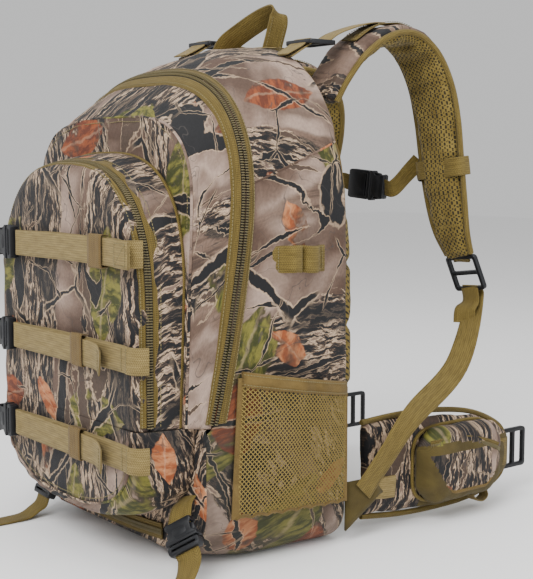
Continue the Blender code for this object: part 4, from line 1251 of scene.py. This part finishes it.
for tag, s in SIDES:
    node = "side_net_%s" % tag
    show(net_cloth("net_%s" % tag, s), "pack", node, node)
    top = [net_at(u, 1.0, s, 0.0004) for u in np.linspace(0, 1, 40)]
    wall = [Vector((s, 0, 0))] * 40
    rim = []
    for h, out in ((-0.0075, 0.0000), (-0.0070, 0.0014), (0.0, 0.0018), (0.0052, 0.0014), (0.0058, 0.0),
                   (0.0052, -0.0012), (-0.006, -0.001)):
        rim.append([(p[0] + s * out, p[1], p[2] + h) for p in top])
    show(cloth("net_rim_%s" % tag, np.array(rim), "binding", 0.0006), "pack", node)
    for h in (-0.0055, 0.0035):
        show(stitches("net_rim_thread_%s_%d" % (tag, int(h * 1e4)),
                      [(p[0] + s * 0.0021, p[1], p[2] + h) for p in top],
                      (s, 0, 0), 0.0028), "pack", node)
    for u, label in ((0.0, "fore"), (1.0, "aft")):
        side = [net_at(u, v, s, 0.0004) for v in np.linspace(0, 1, 24)]
        width = 0.009 if label == "fore" else 0.004
        show(band("net_%s_%s" % (label, tag), side, (0, 1, 0), width, 0.0014, "binding", 2), "pack", node)
    hem = []
    for u in np.linspace(0, 1, 90):
        p = net_at(u, 0.0, s, 0.0)
        hem.append((p[0] + s * 0.0006, p[1], p[2] + 0.0022 * abs(math.sin(u * 24))))
    show(piping("net_hem_%s" % tag, hem, 0.0015, "binding", 6), "pack", node)
    loop = [(s * 0.1562, -0.024, 0.282), (s * 0.1582, -0.014, 0.282), (s * 0.1662, -0.008, 0.2823),
            (s * 0.1672, -0.002, 0.2825), (s * 0.1655, 0.003, 0.282), (s * 0.1600, 0.0062, 0.282),
            (s * 0.1655, 0.0100, 0.2815),
            (s * 0.1672, 0.016, 0.281), (s * 0.1655, 0.023, 0.281), (s * 0.1582, 0.0300, 0.281),
            (s * 0.1560, 0.038, 0.281)]
    node = "side_loop_%s" % tag
    show(band("daisy_%s" % tag, loop, (0, 0, 1), WEB, 0.0016, "webbing", 7), "pack", node, node)
    for y in (-0.0185, 0.0065, 0.0335):
        line = [(s * (0.1612 if 0 < y < 0.02 else 0.1584), y, 0.282 + h)
                for h in np.linspace(-0.011, 0.011, 6)]
        show(stitches("daisy_thread_%s_%d" % (tag, int(y * 1e4)), line, (s, 0, 0), 0.0026), "pack", node)

# ---- base -----------------------------------------------------------------------------------
curve = [(-0.087, Y_LOW - 0.0048, 0.0275), (-0.04, Y_LOW - 0.0050, 0.0247), (0.0, Y_LOW - 0.0052, 0.0240),
         (0.04, Y_LOW - 0.0050, 0.0247), (0.087, Y_LOW - 0.0048, 0.0275)]
fine = resample(eased(curve, 10), 82)
tapes = [band("cover_tape", curve, (0, 0, 1), 0.0155, 0.0014, "tape", 10)]
for h in (-0.0015, 0.0015):
    places = [((p[0], p[1] - 0.0016, p[2] + h), (0, 0, 1), (1, 0, 0)) for p in fine]
    tapes.append(studs("cover_coil_%d" % int(h * 1e4), places, "coil", (0.0018, 0.0007, 0.0009)))
show(join("cover_zip", *tapes), "pack", "base_zip", "base_zip")
BASE = {"right": ((0.1370, -0.1145, 0.0515), (0.62, -0.14, -0.70), (-0.6, 0.8, 0)),
        "left": ((-0.112, -0.1075, 0.0480), (-0.05, -0.30, -0.80), (0, 1, 0))}
for tag, s in SIDES:
    seat, down, behind = (Vector(v) for v in BASE[tag])
    down.normalize()
    wide = down.cross(behind).normalized()
    show(socket_buckle("base_socket_%s" % tag, seat, down, wide), "pack", "base_female_%s" % tag,
         "base_female_%s" % tag)
    show(tongue_buckle("base_tongue_%s" % tag, seat, down, wide), "base_male_%s" % tag,
         "base_male_%s" % tag, "base_male_%s" % tag)
    bar = seat + down * 0.0320
    x = bar.x
    run = [bar - down * 0.004, bar + down * 0.006,
           (x + down.x * 0.012, min(-0.126, bar.y - 0.0095), 0.0078),
           (x + down.x * 0.014, -0.140, 0.0022), (x + down.x * 0.015, -0.160, 0.0012),
           (x + down.x * 0.016, -0.178, 0.0014), (x + down.x * 0.018, -0.1915, 0.0038)]
    faces = [tuple(wide), tuple(wide)] + [(1, 0, 0)] * 5
    node = "base_strap_%s" % tag
    web = band("base_web_%s" % tag, run, faces, WEB - 0.0008, 0.0015, "webbing", 7, 0.0002)
    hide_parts(node)
    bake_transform(web, "pack", "base_male_%s" % tag, start=tuple(run[4]), end=tuple(bar + down * 0.004))
    root = Vector((s * 0.118, Y_LOW - 0.003, 0.062)) if s < 0 else Vector((0.1290, -0.0985, 0.0700))
    tab = [root, root.lerp(seat, 0.5) + Vector((0, -0.002, 0.002)), seat + down * 0.0014,
           seat + down * 0.004 + wide.cross(down) * 0.002]
    show(band("base_tab_%s" % tag, tab, tuple(wide), WEB - 0.002, 0.0016, "webbing", 5), "pack",
         "base_female_%s" % tag)

# ---- inner pieces ---------------------------------------------------------------------------
for tag, s in SIDES:
    bar = [(s * 0.055, 0.0607, z) for z in (0.0455, 0.14, 0.24, 0.34, 0.4245)]
    show(band("stay_bar_%s" % tag, bar, (1, 0, 0), 0.0196, 0.0026, "stay", 4), "pack", "stay_%s" % tag,
         "stay_%s" % tag)
sleeve = []
for k in range(8):
    t = k / 7
    sleeve.append([(x * lerp(1, 0.02, t), 0.0578, 0.20 + (z - 0.20) * lerp(1, 0.02, t))
                   for x, z in hull((0.118, 0.260, 0.110, 3.0), 0.060, 0.020, 90)])
show(cloth("bladder_sleeve", np.array(sleeve), "lining", 0.0014, place=lambda p: (p[0], p[2], 0)), "pack",
     "water_sleeve", "water_sleeve")


# ---- stuffed pieces -------------------------------------------------------------------------
def stuffed(name, node, mats, voxel=0.005, puff=0.009, pressure=4.0):
    """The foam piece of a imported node, blown up a little as cloth so that its corners fill and pucker."""
    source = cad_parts[node]
    obj = bpy.data.objects.new(name, source.data.copy())
    bpy.context.scene.collection.objects.link(obj)
    obj.data.materials.clear()
    for key in list(obj.data.attributes.keys()):
        if key.startswith("sharp") or key == "custom_normal":
            obj.data.attributes.remove(obj.data.attributes[key])
    even = obj.modifiers.new("even", "REMESH")
    even.mode, even.voxel_size = "VOXEL", voxel
    bake(obj)
    before = np.array([v.co for v in obj.data.vertices])
    soft = obj.modifiers.new("soft", "CLOTH")
    soft.settings.quality = 4
    soft.settings.use_pressure = True
    soft.settings.uniform_pressure_force = pressure
    soft.settings.tension_stiffness = soft.settings.compression_stiffness = 24
    soft.settings.bending_stiffness = 0.6
    soft.settings.effector_weights.gravity = 0.0
    soft.point_cache.frame_start, soft.point_cache.frame_end = 1, CLOTH_FRAMES
    for step in range(1, CLOTH_FRAMES + 1):
        bpy.context.scene.frame_set(step)
    bake(obj)
    bpy.context.scene.frame_set(1)
    after = np.array([v.co for v in obj.data.vertices])
    move = after - before
    size = np.linalg.norm(move, axis=1, keepdims=True)
    move = move * np.minimum(1.0, puff / np.maximum(size, 1e-9))
    obj.data.vertices.foreach_set("co", (before + move).reshape(-1).astype(np.float32))
    sub = obj.modifiers.new("sub", "SUBSURF")
    sub.levels = sub.render_levels = 1
    bake(obj)
    for mat in (mats if isinstance(mats, (list, tuple)) else [mats]):
        obj.data.materials.append(MATS[mat])
    obj.data.shade_smooth()
    return obj


def cut_panel(obj, place, pick=None):
    """Give each vertex its place on the cut panel; pick chooses the cloth of a face."""
    layer = obj.data.attributes.get("panel") or obj.data.attributes.new("panel", "FLOAT_VECTOR", "POINT")
    layer.data.foreach_set("vector", np.array([place(v.co) for v in obj.data.vertices],
                                              np.float32).reshape(-1))
    if pick:
        for face in obj.data.polygons:
            face.material_index = pick(face.center, face.normal)
    return obj


def fit(obj, low, high):
    """Keep a stuffed piece within its room."""
    for v in obj.data.vertices:
        for k in range(3):
            v.co[k] = min(max(v.co[k], low[k]), high[k])
    return obj


def dimple(obj, depth):
    """Press channels or buttons into a pad: depth(point) is how far along its normal."""
    place = np.zeros(len(obj.data.vertices) * 3)
    out = np.zeros(len(place))
    obj.data.vertices.foreach_get("co", place)
    obj.data.vertices.foreach_get("normal", out)
    place, out = place.reshape(-1, 3), out.reshape(-1, 3)
    press = np.array([depth(Vector(p)) for p in place])
    obj.data.vertices.foreach_set("co", (place - out * press[:, None]).reshape(-1))
    obj.data.update()
    return obj


def back_channel(p):
    """Quilted lines across the back pads."""
    row = (p.z - QUILT_Z) / QUILT_STEP
    near = abs(row - round(row)) * QUILT_STEP
    channel = 0.0036 * math.exp(-(near / 0.0045) ** 2) if p.y > 0.082 else 0.0
    return channel + crease(p, 40.0, 2.0) * 0.0004


for tag, s in SIDES:
    pad = dimple(stuffed("pad_%s" % tag, "back_pad_%s" % tag, ["mesh", "olive"]), back_channel)
    cut_panel(pad, lambda p: (p.x, p.z + (p.y - 0.09) * 0.5, 0), lambda c, n: 0 if c.y > 0.0765 else 1)
    show(fit(pad, (-0.150, Y_BACK - 0.001, 0), (0.150, 0.104, 0.5)), "pack", "back_pad_%s" % tag,
         "back_pad_%s" % tag, fill=0.85)
pad = dimple(stuffed("lumbar", "lumbar_pad", ["mesh", "olive"]),
             lambda p: 0.0028 * math.exp(-((abs(p.x) - 0.045) / 0.005) ** 2) if p.y > 0.085 else 0.0)
cut_panel(pad, lambda p: (p.x, p.z + (p.y - 0.09) * 0.5, 0), lambda c, n: 0 if c.y > 0.0775 else 1)
show(fit(pad, (-0.128, Y_BACK - 0.001, 0.026), (0.128, 0.105, 0.148)), "pack", "lumbar_pad", "lumbar_pad",
     fill=0.85)

# ---- top of the pack ------------------------------------------------------------------------
for tag, s in SIDES:
    seat = Vector(LIFTER_SEAT[tag])
    node = "lifter_lock_%s" % tag
    show(ladder("lock_%s" % tag, seat, (0, 1, 0), (1, 0, 0), 0.026, 0.034, 0.0044, 0.0045), "pack", node,
         node)
    root = Vector((s * 0.070, seat.y - 0.040, seat.z - 0.014))
    tab = [root, root.lerp(seat, 0.5) + Vector((0, 0, 0.003)), seat + Vector((0, -0.0105, 0.003)),
           seat + Vector((0, -0.0085, -0.001)),
           seat + Vector((0, -0.016, -0.0055)), root + Vector((0, 0.006, -0.002))]
    show(band("lock_tab_%s" % tag, tab, (1, 0, 0), WEB, 0.0015, "khaki", 5), "pack", node)
grip = [(-0.040, 0.063, 0.4760), (-0.041, 0.064, 0.4850), (-0.034, 0.067, 0.4950), (-0.018, 0.074, 0.5060),
        (-0.002, 0.081, 0.5155),
        (0.012, 0.087, 0.5225), (0.0200, 0.090, 0.5235), (0.0215, 0.090, 0.5150), (0.0190, 0.088, 0.5010),
        (0.0165, 0.085, 0.4860),
        (0.0150, 0.082, 0.4730)]
lean = [(0, 0.90, -0.42)] * 2 + [(0.1, 0.75, -0.62)] * 3 + [(0, 0.86, -0.50)] * 3 + [(0, 0.93, -0.36)] * 3
handle = [band("grip_a", grip, lean, 0.0235, 0.0028, "webbing", 6, 0.0010)]
for h in (-0.0085, 0.0085):
    lane = [(x + 0.0016, y + 0.93 * h, z - 0.42 * h + 0.0004) for x, y, z in eased(grip[7:], 6)]
    handle.append(stitches("grip_thread_%d" % int(h * 1e4), lane, lambda p: (p[0], 0, 0.04), 0.0030))
show(join("grip", *handle), "haul_handle", "haul_handle", "haul_handle")
flat = [(-0.046, 0.078, 0.4845), (-0.02, 0.078, 0.4868), (0.0, 0.078, 0.4872), (0.02, 0.078, 0.4868),
        (0.046, 0.078, 0.4845)]
show(band("grip_base", flat, (0, 1, 0), 0.020, 0.0014, "khaki", 6), "pack", "main_shell")

# ---- shoulder straps ------------------------------------------------------------------------
NEAR_PATH = [(0.072, 0.104, 0.4300), (0.074, 0.116, 0.4530), (0.077, 0.134, 0.4780), (0.080, 0.158, 0.4960),
             (0.080, 0.186, 0.5040), (0.080, 0.212, 0.5000), (0.081, 0.235, 0.4830), (0.085, 0.250, 0.4530),
             (0.089, 0.257, 0.4160), (0.092, 0.261, 0.3730), (0.096, 0.265, 0.3300), (0.100, 0.270, 0.2960),
             (0.104, 0.280, 0.2680)]
PAD_WIDTH = (0.048, 0.052, 0.058, 0.062, 0.062, 0.062, 0.062, 0.062, 0.062, 0.060, 0.056, 0.048, 0.036)


def place_on(points, s):
    """A right-hand path, or its mirror laid lower about the yoke line."""
    if s > 0:
        return [tuple(p) for p in points]
    c, n = math.cos(math.radians(FAR_TILT)), math.sin(math.radians(FAR_TILT))
    out = []
    for x, y, z in points:
        dy, dz = y - YOKE[0], z - YOKE[1]
        out.append((-x, YOKE[0] + c * dy - n * dz, YOKE[1] + n * dy + c * dz))
    return out


class Strap:
    """The line of a shoulder strap, with its outward direction and half width all along."""

    def __init__(self, s):
        self.line = eased(place_on(NEAR_PATH, s), 10)
        self.half = eased([(w / 2,) for w in PAD_WIDTH], 10)[:, 0]
        tangent = np.gradient(self.line, axis=0)
        tangent /= np.linalg.norm(tangent, axis=1, keepdims=True)
        self.wide = np.array([1.0, 0, 0]) - tangent * tangent[:, :1]
        self.wide /= np.linalg.norm(self.wide, axis=1, keepdims=True)
        self.out = np.cross(self.wide, tangent)
        self.run = run_along(self.line)

    def near(self, p):
        i = int(np.argmin(np.sum((self.line - np.array(p)) ** 2, axis=1)))
        away = np.array(p) - self.line[i]
        return i, float(away @ self.wide[i]), float(away @ self.out[i])

    def at(self, i, across, out):
        return self.line[i] + self.wide[i] * across * self.half[i] + self.out[i] * out


for tag, s in SIDES:
    body, node = "shoulder_%s" % tag, "shoulder_pad_%s" % tag
    way = Strap(s)
    top = 1 if way.out[60][1] > 0 else -1

    def strap_place(p):
        i, across, out = way.near(p)
        return (way.run[i], across + out * 0.6, 0)

    def strap_cloth(centre, normal):
        _, _, out = way.near(centre)
        return 0 if out * top < -0.0012 else 1

    def bend_fold(p):
        i, across, out = way.near(p)
        fold = noise.noise(Vector((way.run[i] * 62, across * 14, s))) * 0.0022
        inner = 1.0 if out * top < 0 else 0.4
        middle = -0.0014 * math.exp(-(across / 0.014) ** 2) if out * top > 0 else 0.0
        return fold * inner - middle * 0.4

    pad = dimple(stuffed("strap_pad_%s" % tag, node, ["mesh", "strapcamo"], 0.0045, 0.006), bend_fold)
    show(cut_panel(pad, strap_place, strap_cloth), body, node, node, fill=0.75)
    for edge in (-1, 1):
        rim = [way.at(i, edge * 0.985, top * -0.0012) for i in range(1, len(way.line) - 1)]
        show(piping("strap_binding_%s_%d" % (tag, edge + 1), rim, 0.0032, "webbing", 8), body, node)
    web = [tuple(way.at(i, 0.0, top * 0.0098)) for i in range(24, len(way.line) - 2, 6)]
    over = [tuple(way.wide[i]) for i in range(24, len(way.line) - 2, 6)]
    show(band("strap_web_%s" % tag, web, over, WEB, 0.0016, "webbing", 3, 0.0, 0.0008), body, node)
    for side in (-0.011, 0.011):
        line = [way.at(i, 0, top * 0.0112) + way.wide[i] * side for i in range(26, len(way.line) - 4)]
        show(stitches("strap_thread_%s_%d" % (tag, int(side * 1e3)), line, tuple(way.out[70] * top),
                      0.0034), body, node)
    ring = []
    mid = 92
    for k in range(29):
        a = 2 * math.pi * k / 28
        cx, cy = math.cos(a), math.sin(a)
        ring.append(tuple(way.at(mid, 1.10 * math.copysign(abs(cx) ** 0.35, cx),
                                 0.0122 * math.copysign(abs(cy) ** 0.6, cy))))
    here = way.line[mid + 1] - way.line[mid - 1]
    show(band("sternum_band_%s" % tag, ring, tuple(here), 0.020, 0.0016, "webbing", 2), body, node)
    edge = way.at(mid, -s * 1.10, 0.0)
    show(ladder("sternum_rider_%s" % tag, edge, way.wide[mid], here, 0.010, 0.021, 0.0030, 0.0024), body,
         node)

    end, before = Vector(place_on(NEAR_PATH, s)[-1]), Vector(place_on(NEAR_PATH, s)[-2])
    run = (end - before).normalized()
    seat = end + run * 0.0195
    node = "ladder_lock_%s" % tag
    show(ladder("lower_lock_%s" % tag, seat, run, (1, 0, 0), 0.032, 0.036, 0.0050, 0.0050), node, node,
         node)
    flap = [end - run * 0.020, end - run * 0.002, end + run * 0.0056,
            end + run * 0.0042 + Vector((0, -0.003, 0.001))]
    show(band("lock_flap_%s" % tag, flap, (1, 0, 0), 0.024, 0.0018, "webbing", 4), body,
         "shoulder_pad_%s" % tag)

    start = end + run * 0.0385
    turn_in = Vector((s * 0.163, 0.150, 0.117)) if s > 0 else Vector((s * 0.163, 0.130, 0.100))
    anchor = Vector((s * 0.1615, 0.0850, 0.0500))
    bend = start.lerp(turn_in, 0.5) + Vector((s * 0.006, 0.014, -0.018))
    path = [start - run * 0.004, start + run * 0.012, bend, turn_in, turn_in.lerp(anchor, 0.5), anchor]
    faces = [(1, 0, 0), (1, 0, 0), (0.75, s * 0.3, -s * 0.5), (0.25, s * 0.6, -s * 0.7),
             (0, s * 0.7, -s * 0.7), (0, s * 0.7, -s * 0.7)]
    node = "lower_web_%s" % tag
    web = band("lower_strap_%s" % tag, path, faces, WEB - 0.0006, 0.0015, "webbing", 9, 0.0002, 0.0006)
    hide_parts(node)
    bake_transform(web, "pack", "shoulder_%s" % tag, start=tuple(anchor), end=tuple(start))
    tail = [start + Vector((0, -0.0030, 0.0020)), start + run * 0.010 + Vector((s * 0.002, -0.008, -0.004)),
            start + Vector((s * 0.004, -0.014, -0.022)), start + Vector((s * 0.005, -0.016, -0.036))]
    turn = [(1, 0, 0), (1, 0, 0), (0.9, s * 0.4, 0), (0.8, s * 0.6, 0), (0.9, s * 0.4, 0), (1, 0, 0)]
    show(band("lock_tail_%s" % tag, tail, turn[:len(tail)], WEB - 0.001, 0.0015, "webbing", 8, 0.0, 0.0006),
         "shoulder_%s" % tag, node)
    stub = [(s * 0.1600, 0.104, 0.050), (s * 0.1612, 0.114, 0.0490), (s * 0.1608, 0.128, 0.0480),
            (s * 0.1580, 0.129, 0.0478), (s * 0.1575, 0.116, 0.0486)]
    show(band("anchor_end_%s" % tag, stub, (0, 0.1, 1), 0.022, 0.0015, "khaki", 5), "pack", node)
    verts = [(s * 0.1535, 0.069, 0.012), (s * 0.1535, 0.069, 0.060), (s * 0.1605, 0.098, 0.062),
             (s * 0.1605, 0.112, 0.046)]
    wedge = []
    for k in range(7):
        t = k / 6
        a = Vector(verts[0]).lerp(Vector(verts[3]), t)
        b = Vector(verts[1]).lerp(Vector(verts[2]), t)
        wedge.append([tuple(a.lerp(b, q / 6)) for q in range(7)])
    show(cloth("anchor_%s" % tag, np.array(wedge), "olive", 0.0030), "pack", node)

# ---- load lifters ---------------------------------------------------------------------------
for tag, s in SIDES:
    way = Strap(s)
    top = 1 if way.out[60][1] > 0 else -1
    seat = Vector(LIFTER_SEAT[tag])
    catch = Vector(way.at(37 if s > 0 else 30, 0.0, top * 0.0105))
    body = "shoulder_%s" % tag
    path = [seat + Vector((0, 0.0120, 0.0005)), seat.lerp(catch, 0.35) + Vector((0, 0, 0.003)),
            seat.lerp(catch, 0.75) + Vector((0, 0, 0.004)), catch]
    lift = band("lifter_%s" % tag, path, (1, 0, 0), WEB, 0.0015, "khaki", 8, 0.0)
    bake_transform(lift, "pack", body, start=tuple(path[0]), end=tuple(path[3]))

# ---- sternum strap --------------------------------------------------------------------------
FEMALE_END = Vector((0.0300, 0.2360, 0.3430))
MALE_END = Vector((-0.0190, 0.2265, 0.3480))
ACROSS = (MALE_END - FEMALE_END).normalized()
show(socket_buckle("chest_socket", FEMALE_END, ACROSS, (0, 0, 1)), "shoulder_right", "sternum_female",
     "sternum_female")
show(tongue_buckle("chest_tongue", FEMALE_END, ACROSS, (0, 0, 1), 0.0480), "sternum_male", "sternum_male",
     "sternum_male")
for tag, s in SIDES:
    centre = Vector(place_on(NEAR_PATH, s)[9])
    inner = centre + Vector((-s * 0.0335, 0, 0))
    near = FEMALE_END if s > 0 else MALE_END
    node = "sternum_web_%s" % tag
    path = [inner, inner.lerp(near, 0.35) + Vector((0, 0.0015, -0.003)), near - ACROSS * s * 0.0110,
            near - ACROSS * s * -0.001]
    web = band("chest_web_%s" % tag, path, (0, -0.15, 1), 0.0180, 0.0016, "webbing", 7, 0.0, 0.0008)
    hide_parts(node)
    if s > 0:
        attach(web, "shoulder_right")
    else:
        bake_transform(web, "shoulder_left", "sternum_male", start=tuple(inner), end=tuple(near + ACROSS * 0.006))

# ---- hip belt -------------------------------------------------------------------------------
for tag, s in SIDES:
    body, node = "belt_%s" % tag, "belt_wing_%s" % tag
    wing = stuffed("wing_%s" % tag, node, ["mesh", "olive", "pouch"], 0.0045, 0.005)
    dimple(wing, lambda p: crease(p, 30.0, 5.0) * 0.0009)

    def wing_cloth(centre, normal):
        if normal.x * s < -0.35:
            return 0
        return 2 if centre.z > 0.074 or centre.y < 0.176 else 1

    show(cut_panel(wing, lambda p: (p.y, p.z, 0), wing_cloth), body, node, node, fill=0.7)
    ys = [0.104, 0.155, 0.208, 0.260, 0.298, 0.3155]
    zs = [0.064, 0.062, 0.060, 0.057, 0.054, 0.053]
    hs = [0.048, 0.052, 0.052, 0.047, 0.035, 0.021]
    rim = [(s * 0.1375, y, z + h) for y, z, h in zip(ys, zs, hs)]
    rim += [(s * 0.1355, 0.3175, 0.053)]
    rim += [(s * 0.1375, y, z - h) for y, z, h in reversed(list(zip(ys, zs, hs)))]
    show(piping("wing_binding_%s" % tag, eased(rim, 8), 0.0030, "webbing", 8), body, node)
    tongue = [(s * 0.1462, 0.276, 0.0555), (s * 0.1470, 0.292, 0.055), (s * 0.1452, 0.310, 0.0535),
              (s * 0.1400, 0.3205, 0.0525),
              (s * 0.1335, 0.3262, 0.052), (s * 0.1290, 0.3225, 0.052)]
    web = band("wing_web_%s" % tag, tongue, (0, 0, 1), 0.030, 0.0017, "webbing", 6)
    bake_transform(web, body, "belt_lock_%s" % tag, start=tongue[2], end=tongue[4])
    node = "belt_pouch_%s" % tag
    pouch = stuffed("pouch_%s" % tag, node, ["pouch", "olive"], 0.0045, 0.004, 3.0)

    def pouch_zip_z(y):
        return 0.0845 - 3.4 * max(y - 0.200, 0.0) ** 2 - 1.2 * max(0.200 - y, 0.0) ** 2

    def inset_foot(y):
        return 0.032 + 9.0 * max(abs(y - 0.226) - 0.022, 0.0) ** 1.6

    dimple(pouch, lambda p: crease(p, 36.0,
                                   8.0) * 0.0011 + 0.0010
                                   * math.exp(-((p.z - pouch_zip_z(p.y)) / 0.004) ** 2))
    cut_panel(pouch, lambda p: (p.y, p.z + abs(p.x) * 0.5, 0),
              lambda c, n: 0 if c.z > pouch_zip_z(c.y) or (inset_foot(c.y) < c.z < 0.074 and n.x
                                                           * s > 0.2) else 1)
    show(fit(pouch, (-0.1782, 0.10, 0.016), (0.1782, 0.40, 0.20)), body, node, node, fill=0.6)
    face_x = 0.1495 + 0.0235
    zip_line = []
    for y in np.linspace(0.172, 0.272, 60):
        edge = min((y - 0.166) / 0.012, (0.278 - y) / 0.012, 1.0)
        zip_line.append((s * (face_x - 0.0055 * (1 - max(edge, 0.0)) - max(0,
            pouch_zip_z(y) - 0.078) * 0.55), y, pouch_zip_z(y)))
    track = [band("pouch_tape_%s" % tag, zip_line[::5], (s * 0.35, 0, 1), 0.0125, 0.0012, "tape", 5)]
    places = [((x + s * 0.0012, y, z), (s * 0.3, 0, 1), (0, 1, 0)) for x, y, z in zip_line]
    track.append(studs("pouch_coil_%s" % tag, places, "coil", (0.0026, 0.00075, 0.0009)))
    show(join("pouch_zip_%s" % tag, *track), body, node)
    hem = [(s * (face_x + 0.0004 - 0.006 * (abs(y - 0.226) / 0.045) ** 4), y, max(inset_foot(y), 0.032))
           for y in np.linspace(0.1815, 0.2705, 50)]
    show(piping("pouch_piping_%s" % tag, hem, 0.0018, "binding", 8), body, node)
    skirt = [(s * 0.1512, 0.222 + 0.0595 * math.copysign(abs(math.cos(a)) ** 0.5, math.cos(a)),
              0.060 + 0.0395 * math.copysign(abs(math.sin(a)) ** 0.5, math.sin(a)))
              for a in np.linspace(0, 2 * math.pi, 97)]
    show(piping("pouch_seam_%s" % tag, skirt, 0.0020, "webbing", 8), body, node)
    lock = "belt_lock_%s" % tag
    show(ladder("tip_lock_%s" % tag, (s * (WING_X - 0.004), 0.3380, 0.052), (0, 1, 0), (0, 0, 1), 0.030,
                0.036, 0.0050, 0.0050),
         lock, lock, lock)
    loop = [(s * 0.150, 0.250, 0.0165), (s * 0.152, 0.254, 0.0115), (s * 0.153, 0.262, 0.0095),
            (s * 0.152, 0.270, 0.0125), (s * 0.149, 0.272, 0.0185)]
    show(band("belt_loop_%s" % tag, loop, (1, 0, 0), 0.012, 0.0016, "khaki", 6), body, "belt_wing_%s" % tag)

# ---- sliders and pulls ----------------------------------------------------------------------
for label, x, y, lean in (("main", -0.1598, -0.0812, 0.21), ("pocket", -0.1358, Y_POCKET, 0.0)):
    run = Vector((0, lean, 1)).normalized()
    base = Vector((x - 0.0006, y, 0.172))
    wide = Vector((0, 1, 0))
    cast = [slab("%s_plate" % label, [(0, -0.0028), (0.003, -0.0046), (0.010, -0.0050), (0.012, -0.0040),
                                      (0.012, 0.0040),
                                      (0.010, 0.0050), (0.003, 0.0046), (0, 0.0028)], -0.0016, 0.0006,
                                      "slider", 0.0004),
            slab("%s_bridge" % label, oblong(0.002, -0.0011, 0.0105, 0.0011, 0.0004), 0.0004, 0.0020,
                 "slider", 0.0003)]
    slider = put(join("%s_slide" % label, *cast), basis(base, run, -wide if lean < 0 else wide))
    show(slider, "%s_slider" % label, "%s_slider" % label, "%s_slider" % label)
    hang = Vector((x - 0.0036, y + lean * 0.004, 0.1770))
    down = Vector((0, -lean, -1)).normalized()
    pull = put(join("%s_tab" % label,
                    slab("%s_ring" % label, oblong(0.0, -0.0022, 0.0075, 0.0022, 0.0012), -0.0006, 0.0006,
                         "slider", 0.0003),
                    slab("%s_grip" % label, oblong(0.0060, -0.0040, 0.0278, 0.0040, 0.0022), -0.0014,
                         0.0014, "plastic", 0.0005),
                    slab("%s_rib" % label, oblong(0.0100, -0.0028, 0.0240, 0.0028, 0.0012), -0.0017, 0.0017,
                         "plastic", 0.0003)),
               basis(hang, down, wide))
    show(pull, "%s_pull" % label, "%s_pull" % label, "%s_pull" % label)


# ---- floor, light and camera ----------------------------------------------------------------
def floor():
    mesh = bpy.data.meshes.new("floor")
    mesh.from_pydata([(-6, -6, 0), (6, -6, 0), (6, 6, 0), (-6, 6, 0)], [], [(0, 1, 2, 3)])
    obj = bpy.data.objects.new("floor", mesh)
    bpy.context.scene.collection.objects.link(obj)
    mat, _, base = blank("pale floor", 0.9, 0.0, 0.1)
    base.inputs["Base Color"].default_value = (0.93, 0.93, 0.93, 1)
    mesh.materials.append(mat)


def lamp(name, place, aim, size, power):
    data = bpy.data.lights.new(name, "AREA")
    data.shape = "RECTANGLE"
    data.size, data.size_y = size
    data.energy = power
    obj = bpy.data.objects.new(name, data)
    obj.location = place
    obj.rotation_euler = (Vector(aim) - Vector(place)).to_track_quat("-Z", "Y").to_euler()
    bpy.context.scene.collection.objects.link(obj)


def look():
    data = bpy.data.cameras.new("camera")
    data.sensor_width = 36.0
    data.sensor_fit = "AUTO"
    data.lens = 74.18
    obj = bpy.data.objects.new("camera", data)
    obj.location = (1.0006, -0.6902, 0.3662)
    turn, drop = math.radians(52.0), math.radians(5.9)
    aim = Vector((-math.sin(turn) * math.cos(drop), math.cos(turn) * math.cos(drop), -math.sin(drop)))
    obj.rotation_euler = aim.to_track_quat("-Z", "Y").to_euler()
    bpy.context.scene.collection.objects.link(obj)
    bpy.context.scene.camera = obj


floor()
lamp("key", (0.9, -1.5, 1.7), (0, 0, 0.22), (1.1, 1.1), 52)
lamp("side", (2.0, 0.5, 1.1), (0, 0, 0.24), (1.6, 1.6), 20)
lamp("left", (-1.6, -1.4, 1.0), (0, 0, 0.25), (1.2, 1.4), 10)
lamp("over", (0.1, 0.2, 2.2), (0, 0, 0.2), (1.6, 1.6), 20)
world = bpy.data.worlds.new("studio")
world.use_nodes = True
world.node_tree.nodes["Background"].inputs["Color"].default_value = (1.0, 1.0, 1.0, 1)
world.node_tree.nodes["Background"].inputs["Strength"].default_value = 0.70
bpy.context.scene.world = world
look()
